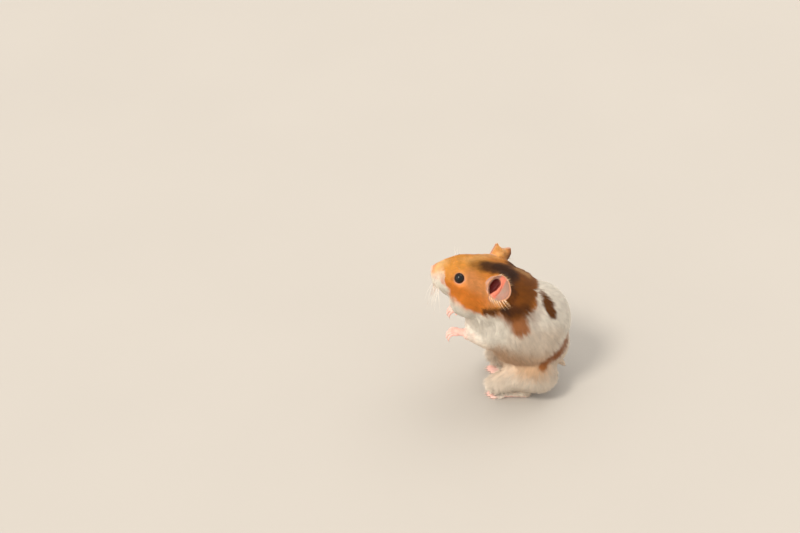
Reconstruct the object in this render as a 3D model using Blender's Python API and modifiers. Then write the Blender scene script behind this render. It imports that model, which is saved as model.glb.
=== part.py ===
"""A Syrian hamster at life size, reared up on its hind feet with both forepaws held out in front.

The flesh is modelled whole, from balls and chains of balls that a voxel remesh fuses into one form.
Thin cuts then part it into head, neck, trunk, forelegs and thighs. The ears, paws, feet, tail, nose
and eyes are made by themselves and trimmed where they meet that form.
The animal faces -Y, its left side is +X, and it stands on Z = 0. The sizes below are in millimetres,
and a place is (left of the middle plane, behind the tip of the nose, above the floor).
"""

import math

import bmesh
import bpy
from mathutils import Matrix, Vector

MM = 0.001
BODY_LENGTH = 75.1  # level distance from the tip of the nose to the back of the rump
GAP = 0.3  # left between neighbouring parts
SIDES = (("left", 1), ("right", -1))

# The spine of the coat's outline, nose to rump, each station with its radius.
SPINE = (
    (0, 6.6, 73.6, 6.7),
    (0, 11.2, 73.0, 9.9),
    (0, 18.2, 71.2, 12.8),
    (0, 25.1, 67.3, 16.8),
    (0, 31.6, 62.6, 19.2),
    (0, 38.5, 54.4, 21.8),
    (0, 45.5, 45.5, 23.4),
    (0, 51.9, 38.0, 22.2),
    (0, 57.4, 31.6, 17.8),
    (0, 61.6, 27.6, 13.0),
)
# Swellings on that form, each a place and its radii; those off the middle plane come in pairs.
SWELLINGS = (
    ((0, 5.0, 74.2), (6.0, 5.0, 6.8)),  # end of the muzzle
    ((3.5, 5.8, 71.4), (4.2, 5.0, 4.5)),  # whisker pads
    ((0, 10.6, 65.2), (5.0, 6.4, 4.8)),  # chin
    ((0, 15.0, 75.6), (8.4, 12.0, 7.6)),  # forehead
    ((9.5, 20.5, 63.0), (9.4, 11.0, 9.2)),  # cheeks
    ((12.5, 32.0, 61.5), (8.6, 9.5, 10.0)),  # ruff, below the ears
    ((0, 27.0, 48.0), (15.0, 10.0, 14.0)),  # breast
    ((0, 42.0, 32.4), (18.0, 13.0, 12.4)),  # belly
    ((0, 46.0, 24.0), (14.5, 13.5, 11.6)),  # lower belly
    ((13.2, 56.0, 17.0), (10.6, 12.8, 11.8)),  # haunches
    ((0, 53.2, 44.4), (20.5, 22.2, 22.8)),  # back
    ((0, 62.0, 29.0), (15.0, 12.4, 13.6)),  # rump
)
# Limbs down to the wrist and the ankle, with a radius at each station.
FORELEG = ((14.0, 35.0, 48.0, 8.0), (14.8, 31.4, 40.2, 5.4), (12.4, 23.0, 41.8, 3.9), (10.2, 15.0, 43.2, 2.7))
HINDLEG = (
    (13.4, 54.0, 16.0, 9.0),
    (13.8, 43.0, 14.0, 7.2),
    (13.4, 33.2, 10.6, 5.2),
    (12.4, 36.0, 7.4, 4.6),
    (11.9, 43.0, 6.8, 4.6),
    (11.5, 49.4, 6.6, 4.0),
    (11.3, 50.8, 3.6, 3.1),
)
# What the thin cuts at the shoulder and the hip take from the trunk: the limb, and a little more.
SHOULDER = ((19.5, 36.0, 47.0, 9.0), (17.6, 30.5, 38.4, 8.4), (12.6, 21.0, 41.8, 6.2), (8.0, 8.0, 45.0, 5.0))
HIP = ((21.0, 58.0, 16.0, 14.8), (17.8, 47.0, 8.5, 12.6), (15.6, 30.0, 9.0, 10.0))
# Flat cuts across the spine: a place, and how far each leans back from upright.
HEAD_CUT = ((0, 40.0, 73.0), math.radians(45.6))
NECK_CUT = ((0, 38.0, 56.0), math.radians(60.0))
WRIST_CUT = ((0, 18.2, 42.0), math.radians(12))
ANKLE_CUT = ((0, 0, 4.9), math.radians(90))
FLOOR_CUT = ((0, 0, 0), math.radians(90))

EYE_PLACE, EYE_RADIUS = (8.0, 15.9, 77.4), 3.0
NOSE_PLACE, NOSE_RADII = (0, 1.6, 77.0), (2.3, 1.6, 1.7)
EAR_PLACE = (15.7, 36.3, 77.8)
EAR_HEIGHT, EAR_WIDTH, EAR_DEPTH, EAR_WALL = 17.4, 13.2, 4.8, 0.9
EAR_SEGMENTS, EAR_RINGS, EAR_RIM = 16, 11, 0.12  # the cup is a ball cut off just before its middle
# The way each ear opens in X, Y and Z, its height over EAR_HEIGHT, how much narrower its tip is than
# its foot, how far forward the tip is swept, and how far the rear of its top is folded down. The
# right ear is pricked to a point, and the left one lies back, round.
EARS = {
    "left": {"faces": (0.86, -0.36, 0.36), "height": 0.93, "taper": 0.16, "sweep": 0.0, "fold": 0.0},
    "right": {"faces": (-0.82, -0.56, 0.12), "height": 1.0, "taper": 0.50, "sweep": 3.4, "fold": 0.80},
}
TAIL = ((0, 64.0, 20.0, 3.0), (0, 68.0, 16.4, 2.2), (0, 70.2, 14.2, 1.6), (0, 71.4, 12.6, 1.0))

PALM = ((10.2, 18.6, 42.6, 2.7), (10.1, 16.0, 42.9, 2.5), (10.0, 13.4, 43.0, 2.2))
PALM_FLATNESS = 0.72  # height of the palm over its width
HIND_SOLE = ((11.3, 50.8, 2.2, 2.9), (11.0, 44.0, 1.6, 2.7), (10.6, 38.0, 1.3, 3.1))
SOLE_FLATNESS = 0.9
HEEL = ((11.3, 50.8, 2.2, 2.9), (11.5, 49.8, 7.0, 3.2))
# A digit is a row of joints, each (share of the way from root to tip across the paw, behind the
# front of the palm, above it, radius). Outer digits are shorter, by "short" for each step squared.
FINGER = {
    "count": 4, "pitch": 1.75, "root": 0.86, "tip": 1.22, "short": 0.5,
    "joints": (
        (0.0, 0.6, 0.0, 1.1), (0.5, -2.6, 0.3, 0.85), (1.0, -4.6, -1.0, 0.75),
        (1.0, -5.2, -2.8, 0.6), (1.0, -4.9, -4.0, 0.32),
    ),
}
TOE = {
    "count": 5, "pitch": 1.6, "root": 0.9, "tip": 1.14, "short": 0.62,
    "joints": (
        (0.0, 0.5, 0.2, 1.3), (0.5, -3.4, 0.0, 0.95), (1.0, -6.6, -0.5, 0.85),
        (1.0, -8.0, -0.55, 0.6), (1.0, -9.2, -0.8, 0.34),
    ),
}
THUMB = ((-2.4, 1.0, -0.8, 0.9), (-3.0, -0.4, -1.8, 0.6))  # from the front of the palm

# How each form is melted from its balls: voxel, rounds of smoothing, triangles left.
MELT = {
    "flesh": (0.9, 14, 2900), "cutter": (1.0, 4, 160), "forepaw": (0.34, 3, 520),
    "hindfoot": (0.38, 3, 560), "tail": (0.5, 4, 130),
}
BODY_SEGMENTS, LIMB_SEGMENTS, SMALL_SEGMENTS, DIGIT_SEGMENTS = 32, 20, 14, 10
BALL_SPACING = 0.3  # of a chain's balls, in radii
NEEDLE = 0.05  # edges shorter than this are cleared after a cut
CREASE = math.radians(40)  # edges sharper than this aren't shaded smooth

COLOURS = {
    "trunk": (0.70, 0.52, 0.38),
    "neck": (0.24, 0.09, 0.02),
    "head": (0.66, 0.27, 0.07),
    "foreleg": (0.82, 0.66, 0.52),
    "thigh": (0.66, 0.42, 0.28),
    "forepaw": (0.87, 0.50, 0.44),
    "hindfoot": (0.80, 0.44, 0.36),
    "ear": (0.55, 0.25, 0.18),
    "nose": (0.80, 0.38, 0.30),
    "tail": (0.80, 0.55, 0.45),
    "eye": (0.006, 0.004, 0.003),
}
EYE_ROUGHNESS, COAT_ROUGHNESS = 0.06, 0.75


def at(side, back, up):
    """The point at a place, in metres."""
    return Vector((side, back - BODY_LENGTH / 2, up)) * MM


def mirrored(stations, sign):
    """A chain of stations on one side of the middle plane."""
    return [(side * sign, *rest) for side, *rest in stations]


def new_collection(name):
    collection = bpy.data.collections.new(name)
    bpy.context.scene.collection.children.link(collection)
    return collection


def new_object(name, bm, collection):
    """An object that takes over a bmesh."""
    mesh = bpy.data.meshes.new(name)
    bm.to_mesh(mesh)
    bm.free()
    obj = bpy.data.objects.new(name, mesh)
    collection.objects.link(obj)
    return obj


def add_ball(bm, place, radii, segments):
    """A ball or ellipsoid of the given radii, in millimetres."""
    ball = bmesh.new()
    bmesh.ops.create_uvsphere(ball, u_segments=segments, v_segments=segments // 2 + 1, radius=MM)
    ball.transform(Matrix.Translation(at(*place)) @ Matrix.Diagonal(radii).to_4x4())
    mesh = bpy.data.meshes.new("ball")
    ball.to_mesh(mesh)
    ball.free()
    bm.from_mesh(mesh)
    bpy.data.meshes.remove(mesh)


def add_chain(bm, stations, segments, flatten=1.0):
    """Balls in a close row through the stations, their radius changing evenly from one to the next."""
    for first, last in zip(stations, stations[1:]):
        start, end = Vector(first), Vector(last)
        spacing = BALL_SPACING * min(first[3], last[3])
        steps = max(2, math.ceil((end - start).to_3d().length / spacing))
        for step in range(steps + 1):
            side, back, up, radius = start.lerp(end, step / steps)
            add_ball(bm, (side, back, up), (radius, radius, radius * flatten), segments)


def apply_modifiers(obj):
    graph = bpy.context.evaluated_depsgraph_get()
    mesh = bpy.data.meshes.new_from_object(obj.evaluated_get(graph))
    obj.modifiers.clear()
    obj.data = mesh


def fuse(obj, voxel, smooth_rounds, triangles):
    """Melt an object's balls into one skin, soften it and thin it to about a number of triangles."""
    remesh = obj.modifiers.new("fuse", "REMESH")
    remesh.mode = "VOXEL"
    remesh.voxel_size = voxel * MM
    smooth = obj.modifiers.new("soften", "SMOOTH")
    smooth.factor = 0.5
    smooth.iterations = smooth_rounds
    apply_modifiers(obj)
    thin = obj.modifiers.new("thin", "DECIMATE")
    thin.ratio = triangles / (2 * len(obj.data.polygons))
    thin.use_collapse_triangulate = True
    apply_modifiers(obj)


def boolean(obj, cutter, operation="DIFFERENCE"):
    """Cut an object by another, and clear the needle-thin faces that the cut leaves."""
    modifier = obj.modifiers.new("cut", "BOOLEAN")
    modifier.operation = operation
    modifier.object = cutter
    apply_modifiers(obj)
    bm = bmesh.new()
    bm.from_mesh(obj.data)
    bmesh.ops.remove_doubles(bm, verts=bm.verts, dist=NEEDLE * MM)
    bmesh.ops.dissolve_degenerate(bm, edges=bm.edges, dist=NEEDLE * MM)
    bmesh.ops.triangulate(bm, faces=bm.faces)
    bm.to_mesh(obj.data)
    bm.free()


def grown(obj, distance, collection):
    """A copy of an object, blown up by a distance along its normals, to cut with."""
    bm = bmesh.new()
    bm.from_mesh(obj.data)
    bm.normal_update()
    for vert in bm.verts:
        vert.co += vert.normal * distance * MM
    return hide(new_object(obj.name + "_clearance", bm, collection))


def hide(cutter):
    cutter.hide_render = True
    cutter.display_type = "WIRE"
    return cutter


def ball_cutter(name, place, radii, collection):
    bm = bmesh.new()
    add_ball(bm, place, radii, SMALL_SEGMENTS)
    return hide(new_object(name, bm, collection))


def chain_cutter(name, stations, extra, collection):
    """A faceted tube round a limb's stations, wider by an extra."""
    bm = bmesh.new()
    add_chain(bm, [(side, back, up, radius + extra) for side, back, up, radius in stations], SMALL_SEGMENTS)
    cutter = hide(new_object(name, bm, collection))
    fuse(cutter, *MELT["cutter"])
    return cutter


def block_cutter(name, place, lean, offset, collection):
    """A block whose face is the flat cut at a place, and whose bulk lies on the cut's rear side."""
    turn = Matrix.Rotation(-lean, 4, "X")
    reach = 2.2 * BODY_LENGTH
    bm = bmesh.new()
    shift = Matrix.Translation(Vector((0, reach / 2 + offset, 0)) * MM)
    bmesh.ops.create_cube(bm, size=reach * MM, matrix=Matrix.Translation(at(*place)) @ turn @ shift)
    return hide(new_object(name, bm, collection))


def copy_of(obj, name, collection):
    twin = bpy.data.objects.new(name, obj.data.copy())
    collection.objects.link(twin)
    return twin


def paint(obj, kind):
    """The plain finish of a part."""
    material = bpy.data.materials.get(kind)
    if material is None:
        material = bpy.data.materials.new(kind)
        material.use_nodes = True
        shader = material.node_tree.nodes["Principled BSDF"]
        shader.inputs["Base Color"].default_value = (*COLOURS[kind], 1)
        shader.inputs["Roughness"].default_value = EYE_ROUGHNESS if kind == "eye" else COAT_ROUGHNESS
        shader.inputs["Metallic"].default_value = 0.0
    obj.data.materials.clear()
    obj.data.materials.append(material)
    obj.data.shade_smooth()
    obj.data.set_sharp_from_angle(angle=CREASE)


def make_flesh(cutters):
    """The whole body without ears, paws, feet and tail, as one form."""
    bm = bmesh.new()
    add_chain(bm, SPINE, BODY_SEGMENTS)
    for place, radii in SWELLINGS:
        for sign in (1, -1) if place[0] else (1,):
            add_ball(bm, (place[0] * sign, *place[1:]), radii, BODY_SEGMENTS)
    for _, sign in SIDES:
        add_chain(bm, mirrored(FORELEG, sign), LIMB_SEGMENTS)
        add_chain(bm, mirrored(HINDLEG, sign), LIMB_SEGMENTS)
    flesh = hide(new_object("flesh", bm, cutters))
    fuse(flesh, *MELT["flesh"])
    boolean(flesh, block_cutter("ankle", *ANKLE_CUT, -GAP / 2, cutters))
    return flesh


def part_flesh(flesh, parts, cutters):
    """Thin cuts take the limbs from the flesh, and the head and neck from the trunk."""
    pieces = {}
    for kind, stations in (("foreleg", SHOULDER), ("thigh", HIP)):
        for name, sign in SIDES:
            limb = copy_of(flesh, f"{kind}_{name}", parts)
            cutter = chain_cutter(f"{kind}_{name}_inside", mirrored(stations, sign), -GAP / 2, cutters)
            boolean(limb, cutter, "INTERSECT")
            boolean(flesh, grown(cutter, GAP, cutters))
            pieces[limb.name] = limb
    wrist = block_cutter("wrist", *WRIST_CUT, GAP / 2, cutters)
    for name, _ in SIDES:
        boolean(pieces[f"foreleg_{name}"], wrist, "INTERSECT")
    head_rear = block_cutter("head_rear", *HEAD_CUT, -GAP / 2, cutters)
    neck_front = block_cutter("neck_front", *HEAD_CUT, GAP / 2, cutters)
    neck_rear = block_cutter("neck_rear", *NECK_CUT, -GAP / 2, cutters)
    trunk_front = block_cutter("trunk_front", *NECK_CUT, GAP / 2, cutters)
    for name, steps in (
        ("head", ((head_rear, "DIFFERENCE"),)),
        ("neck", ((neck_front, "INTERSECT"), (neck_rear, "DIFFERENCE"))),
        ("trunk", ((trunk_front, "INTERSECT"),)),
    ):
        pieces[name] = copy_of(flesh, name, parts)
        for cutter, operation in steps:
            boolean(pieces[name], cutter, operation)
    return pieces


def make_eye(name, sign, head, parts, cutters):
    """A globe in a socket of the head."""
    place = (EYE_PLACE[0] * sign, *EYE_PLACE[1:])
    bm = bmesh.new()
    add_ball(bm, place, [EYE_RADIUS] * 3, SMALL_SEGMENTS)
    eye = new_object(f"eye_{name}", bm, parts)
    socket = ball_cutter(f"socket_{name}", place, [EYE_RADIUS + GAP] * 3, cutters)
    boolean(head, socket)
    return eye


def shape_ear(bm, name, sign, extra):
    """Turn a unit ball, or the rear of one, into a cup that stands at the ear's place, grown by an extra.

    Its outline is widest low down and narrows to a tip, which leans back and is swept forward. The
    rear of its top may be folded down.
    """
    ear = EARS[name]
    for vert in bm.verts:
        x, y, z = vert.co
        width = EAR_WIDTH / 2 * (1 - ear["taper"] * (y + 0.5 * y * y)) + extra
        across = x * width - sign * ear["sweep"] * max(y, 0) ** 2
        folded = ear["fold"] * max(sign * x, 0) if y > 0 else 0
        along = y * (EAR_HEIGHT / 2 * ear["height"] * (1 - folded) + extra)
        deep = z * (EAR_DEPTH + extra) - max(y, 0) ** 2
        vert.co = Vector((across, along, deep)) * MM
    facing = Vector(ear["faces"]).normalized()
    level = Vector((0, 0, 1)).cross(facing).normalized()
    turn = Matrix((level, facing.cross(level), facing)).transposed()
    bm.transform(Matrix.Translation(at(EAR_PLACE[0] * sign, *EAR_PLACE[1:])) @ turn.to_4x4())


def make_ear(name, sign, beds, parts, cutters):
    """A cupped shell, sunk at its foot in a hollow of the parts that it grows from."""
    bm = bmesh.new()
    bmesh.ops.create_uvsphere(bm, u_segments=EAR_SEGMENTS, v_segments=EAR_RINGS, radius=1)
    front = [vert for vert in bm.verts if vert.co.z > EAR_RIM]
    bmesh.ops.delete(bm, geom=front, context="VERTS")
    shape_ear(bm, name, sign, 0)
    ear = new_object(f"ear_{name}", bm, parts)
    wall = ear.modifiers.new("wall", "SOLIDIFY")
    wall.thickness = EAR_WALL * MM
    wall.offset = 0
    wall.use_even_offset = True
    apply_modifiers(ear)
    bm = bmesh.new()
    bmesh.ops.create_uvsphere(bm, u_segments=EAR_SEGMENTS, v_segments=EAR_RINGS, radius=1)
    shape_ear(bm, name, sign, EAR_WALL / 2 + GAP)
    hollow = hide(new_object(f"ear_{name}_hollow", bm, cutters))
    for bed in beds:
        boolean(bed, hollow)
    return ear


def make_nose(clearance, parts):
    bm = bmesh.new()
    add_ball(bm, NOSE_PLACE, NOSE_RADII, SMALL_SEGMENTS)
    nose = new_object("nose", bm, parts)
    boolean(nose, clearance)
    return nose


def make_tail(clearance, parts):
    bm = bmesh.new()
    add_chain(bm, TAIL, SMALL_SEGMENTS)
    tail = new_object("tail", bm, parts)
    fuse(tail, *MELT["tail"])
    boolean(tail, clearance)
    return tail


def add_digits(bm, kind, root, sign):
    """The digits of a paw or foot, fanned out forward from the front end of its palm or sole."""
    side, back, up, _ = root
    for number in range(kind["count"]):
        across = number - (kind["count"] - 1) / 2
        start, end = (side + kind["pitch"] * across * kind[share] for share in ("root", "tip"))
        short = kind["short"] * across ** 2
        joints = [
            (start + (end - start) * share, back + behind + short * share, up + above, radius)
            for share, behind, above, radius in kind["joints"]
        ]
        add_chain(bm, mirrored(joints, sign), DIGIT_SEGMENTS)


def make_forepaw(name, sign, parts, cutters):
    """A palm, face down, with four fingers that reach forward and hook down, and a stub of a thumb."""
    bm = bmesh.new()
    add_chain(bm, mirrored(PALM, sign), SMALL_SEGMENTS, PALM_FLATNESS)
    add_digits(bm, FINGER, PALM[-1], sign)
    front = PALM[-1][:3]
    thumb = [(*(a + b for a, b in zip(front, joint)), joint[3]) for joint in THUMB]
    add_chain(bm, mirrored(thumb, sign), DIGIT_SEGMENTS)
    paw = new_object(f"forepaw_{name}", bm, parts)
    fuse(paw, *MELT["forepaw"])
    boolean(paw, block_cutter(f"forepaw_{name}_rear", *WRIST_CUT, -GAP / 2, cutters))
    return paw


def make_hindfoot(name, sign, parts, cutters):
    """A long sole, flat on the floor from heel to toes, with five clawed toes in front."""
    bm = bmesh.new()
    add_chain(bm, mirrored(HIND_SOLE, sign), SMALL_SEGMENTS, SOLE_FLATNESS)
    add_chain(bm, mirrored(HEEL, sign), SMALL_SEGMENTS)
    add_digits(bm, TOE, HIND_SOLE[-1], sign)
    foot = new_object(f"hindfoot_{name}", bm, parts)
    fuse(foot, *MELT["hindfoot"])
    boolean(foot, block_cutter(f"hindfoot_{name}_below", *ANKLE_CUT, GAP / 2, cutters), "INTERSECT")
    boolean(foot, block_cutter(f"hindfoot_{name}_floor", *FLOOR_CUT, 0, cutters))
    return foot


def main():
    for obj in list(bpy.data.objects):
        bpy.data.objects.remove(obj)
    parts = new_collection("syrian_hamster")
    cutters = new_collection("cutters")
    flesh = make_flesh(cutters)
    pieces = part_flesh(flesh, parts, cutters)
    for name, sign in SIDES:
        make_eye(name, sign, pieces["head"], parts, cutters)
        make_ear(name, sign, (pieces["head"], pieces["neck"]), parts, cutters)
        make_forepaw(name, sign, parts, cutters)
        make_hindfoot(name, sign, parts, cutters)
    make_nose(grown(pieces["head"], GAP, cutters), parts)
    make_tail(grown(pieces["trunk"], GAP, cutters), parts)
    for obj in parts.objects:
        paint(obj, obj.name.split("_")[0])


main()
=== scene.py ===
"""The dressed Syrian hamster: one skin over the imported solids, glossy eyes, claws, a coat of mesh tufts,
whiskers, and a plain stage. Places are given in millimetres as (left of the middle plane, behind the
tip of the nose, above the floor), as the solids were drawn.
"""
import math

import bpy
import numpy as np
from bpy.props import FloatProperty, FloatVectorProperty, IntProperty, PointerProperty
from mathutils import Euler, Matrix, Vector, noise
from mathutils.bvhtree import BVHTree
from mathutils.kdtree import KDTree


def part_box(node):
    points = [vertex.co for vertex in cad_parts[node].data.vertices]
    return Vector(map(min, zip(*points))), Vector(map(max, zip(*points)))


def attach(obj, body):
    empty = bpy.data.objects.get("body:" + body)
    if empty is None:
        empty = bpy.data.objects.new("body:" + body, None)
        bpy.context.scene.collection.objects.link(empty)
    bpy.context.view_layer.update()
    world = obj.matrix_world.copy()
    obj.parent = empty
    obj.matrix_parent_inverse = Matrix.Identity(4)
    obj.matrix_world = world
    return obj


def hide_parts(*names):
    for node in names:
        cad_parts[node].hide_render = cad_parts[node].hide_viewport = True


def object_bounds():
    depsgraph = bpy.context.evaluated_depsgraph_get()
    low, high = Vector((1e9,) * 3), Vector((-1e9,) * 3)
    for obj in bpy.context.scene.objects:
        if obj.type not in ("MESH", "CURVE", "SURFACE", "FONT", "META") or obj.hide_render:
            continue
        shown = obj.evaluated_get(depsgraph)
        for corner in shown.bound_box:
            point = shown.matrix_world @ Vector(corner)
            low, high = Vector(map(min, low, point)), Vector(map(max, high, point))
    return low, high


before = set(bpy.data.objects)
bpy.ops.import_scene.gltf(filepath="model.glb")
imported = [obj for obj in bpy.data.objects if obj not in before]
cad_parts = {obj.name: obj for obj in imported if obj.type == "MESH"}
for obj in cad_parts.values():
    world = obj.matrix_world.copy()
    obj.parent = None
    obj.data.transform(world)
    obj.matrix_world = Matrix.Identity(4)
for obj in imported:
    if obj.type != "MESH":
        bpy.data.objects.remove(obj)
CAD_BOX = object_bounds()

bl_info = {
    "name": "Syrian Hamster",
    "version": (1, 0, 0),
    "blender": (4, 5, 0),
    "location": "View3D > Sidebar > Hamster",
    "description": "Dresses the solids of a Syrian hamster in skin, coat, eyes, claws and whiskers",
    "category": "Object",
}

MM = 0.001
NOSE_TIP = CAD_BOX[0].y
SIDES = {"left": 1, "right": -1}
FURRED = ("trunk", "neck", "head", "foreleg_left", "foreleg_right", "thigh_left", "thigh_right")
FOREPAWS = ("forepaw_left", "forepaw_right")
PAWS = (*FOREPAWS, "hindfoot_left", "hindfoot_right")
EARS = ("ear_left", "ear_right")
EYES = ("eye_left", "eye_right")

# The fused skin: how much the furred solids swell before they fuse, the grain of the fused surface,
# and the share of its faces that is kept where the coat hides it, so far from bare parts and nose.
SWELL, VOXEL, HIDDEN_FACES = 0.45, 0.29, 0.07
HIDDEN_FROM_BARE, HIDDEN_FROM_NOSE = 1.5, 16.0

# Each ear is a cup: the way it opens, its height over EAR_HEIGHT, how much narrower its tip is than
# its foot, how far forward the tip is swept, and how far the rear of its top is folded down. The
# solids reach to the tips of the hairs, so an ear of the skin may be lower, by a share.
EAR_PLACE = (15.7, 36.3, 77.8)
EAR_HEIGHT, EAR_WIDTH, EAR_DEPTH = 17.4, 13.2, 4.8
EAR_SHAPES = {
    "left": {
        "faces": (0.86, -0.36, 0.36), "height": 0.93, "taper": 0.16,
        "sweep": 0.0, "fold": 0.0, "lower": 0.14,
    },
    "right": {
        "faces": (-0.82, -0.56, 0.12), "height": 1.0, "taper": 0.50,
        "sweep": 3.4, "fold": 0.80, "lower": 0.06,
    },
}
# Folds inside the ear, each a row of (across toward the rear, up, ahead of the cup's wall, radius);
# the first two are shares of the cup's half width and half height.
EAR_FOLDS = (
    ((0.24, 0.80, 0.1, 0.6), (0.02, 0.45, 0.5, 0.9), (-0.12, 0.05, 0.8, 1.3), (-0.26, -0.34, 0.9, 1.7),
     (-0.44, -0.64, 0.8, 1.5), (-0.44, -0.84, 0.5, 1.0)),
    ((-0.96, -0.10, 0.1, 0.8), (-0.90, -0.42, 0.3, 0.9), (-0.72, -0.70, 0.5, 0.85)),
)
# The rolled rim: its depth as a share of the cup's, its radius, and its arc in degrees.
EAR_RIM, EAR_RIM_RADIUS = -0.12, 0.44
RIM_START, RIM_ARC, RIM_STEPS = -70, 320, 32
EAR_LOCKS = 7  # of hair below each ear
# The dark hollow in front of the first fold, pressed in and painted dark red, partly as painted shade: shares
# as above, and a radius.
EAR_HOLLOW = ((-0.50, 0.16, 2.6), (-0.62, -0.14, 2.6), (-0.76, -0.46, 1.7))
HOLLOW_DEPTH, HOLLOW_STEPS = 1.9, 9

# Places on the face, and the direction in which the left eye looks.
NOSE_MIDDLE = (0, 1.5, 76)
EYE_AXIS = (0.80, -0.26, 0.54)
EYE_OPENING = 68.0  # degrees from the middle of the eye to its lids
LID_END = (34, 56)  # degrees past the opening where the lids run out
LID_THICKNESS, EYE_SINK, CORNEA = 0.42, 0.5, 0.12
PHILTRUM = ((0, 0.2, 75.4), (0, 0.8, 73.0), (0, 2.0, 70.4), (0, 3.0, 68.6))
MOUTH = ((0, 3.0, 68.6), (2.0, 3.6, 68.0), (4.0, 5.8, 67.6), (5.4, 8.6, 68.2))
LIP_GROOVE, MOUTH_GROOVE = (0.55, 0.45), (0.60, 0.60)  # width and depth
# Soft hollows in the face, or swells where the depth is negative: place, radii, depth.
NOSE_HOLLOWS = (
    ((0, 1.2, 79.6), (2.6, 1.6, 0.9), 0.10),
    ((0, 3.4, 80.4), (2.6, 1.6, 0.9), 0.10),
    ((0, -0.2, 77.0), (2.0, 1.4, 1.8), 0.55),
)
NOSTRIL_HOLLOWS = (
    ((1.15, 0.3, 76.6), (0.50, 0.8, 0.40), 0.75),
    ((1.75, 1.0, 77.0), (0.45, 0.8, 0.30), 0.40),
    ((2.0, 0.6, 78.0), (0.7, 0.9, 0.6), -0.22),
)
CHEEK_HOLLOWS = (
    ((3.0, 2.6, 71.2), (2.2, 2.4, 2.0), -0.35),
    ((8.2, 12.0, 73.6), (3.0, 5.0, 1.8), 0.45),
    ((6.2, 13.5, 82.0), (2.6, 5.0, 1.6), -0.35),
)
SNOUT, SNOUT_REACH, EYE_REACH = (0, 3, 73), 8, 4.6  # where the skin keeps finer faces
SOFTEN_COAT, SOFTEN_JOINTS, SOFTEN_ALL = 90, 40, 5  # rounds of smoothing
WRIST = (10.6, 18.6, 42.6)  # the left one
BARE_REACH = 9.0  # how far from the bare parts their closeness is felt
SHORTEST_HAIR = 0.9  # on the nose
# How much of its length the hair keeps next to bare skin, round the eyes and on the back of an ear.
BARE_HAIR, LID_HAIR, EAR_HAIR = 0.28, 0.45, 0.40
DEPTH_SHARE, LENGTH_SHARE = 0.16, 0.5  # of a limb's radius: the most that its coat is deep and long
SHALLOW = 0.2  # of the coat's depth, at the nose

# The ends of the digits: the middle one's place, the step from one to the next, how much shorter the
# outer ones are, and the way that their claws set out and bend.
FINGER_ENDS = {
    "count": 4, "middle": (10.0, 8.5, 39.2), "pitch": 2.135, "short": 0.5,
    "way": (0, -0.25, -0.95), "bend": (0, 0.5, -0.1),
}
TOE_ENDS = {
    "count": 5, "middle": (10.6, 28.9, 0.75), "pitch": 1.824, "short": 0.62,
    "way": (0, -0.95, 0.15), "bend": (0, -0.05, -0.5),
}
CLAW_RADIUS = 0.24
# The whiskers stand in rows on each pad, and a few bristles over each eye, from a first root.
WHISKER_RADIUS, WHISKER_SEED, HAIR_SIDES = 0.06, 11, 4
WHISKER_ROWS, WHISKER_PAD = 4, (3.6, 2.8, 73.4)
BROW_HAIRS, BROW = 4, (4.6, 12.6, 83)

# The middle line of the body and of each limb. The hair lies along them, within a pull's reach.
BODY_PULL, LIMB_PULL = 9, 3
PARTING, EAR_LIE = 1.2, 3.0  # how firmly hair parts round the nose, eyes and ears, and lies up an ear
BODY_LINE = ((0, 4, 75.5), (0, 18, 71), (0, 31, 63), (0, 40, 53), (0, 47, 43), (0, 57, 31), (0, 68, 22))
LIMB_LINES = (
    ((15, 36, 48), (14.8, 31, 40.5), (12.4, 23, 41.8), (10.2, 14, 43)),
    ((14, 58, 26), (14.5, 46, 11), (11.5, 49, 5), (11, 42, 2)),
)

# The lower and rear edge of the orange hood, as (behind the nose, above the floor).
HOOD_EDGE = (
    (0, 84), (4, 82.6), (7.5, 79.6), (9.2, 73.5), (10.6, 68.6), (14, 67.6), (17.5, 66.4), (20, 64.2),
    (23, 62.2), (28, 61.6), (33, 61.4), (38, 60.4), (44, 59.6), (50, 59.8), (53.5, 61), (55.6, 64),
    (56.8, 68), (57.8, 80), (59, 96),
)
CHART = 100.0  # the hood's edge is charted on a square of this size


def both(colour, start, end, *rest):
    """A mark on the left side, and the same one on the right."""
    ends = [((start[0] * sign, *start[1:]), (end[0] * sign, *end[1:])) for sign in SIDES.values()]
    return [(colour, *pair, *rest) for pair in ends]


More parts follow.
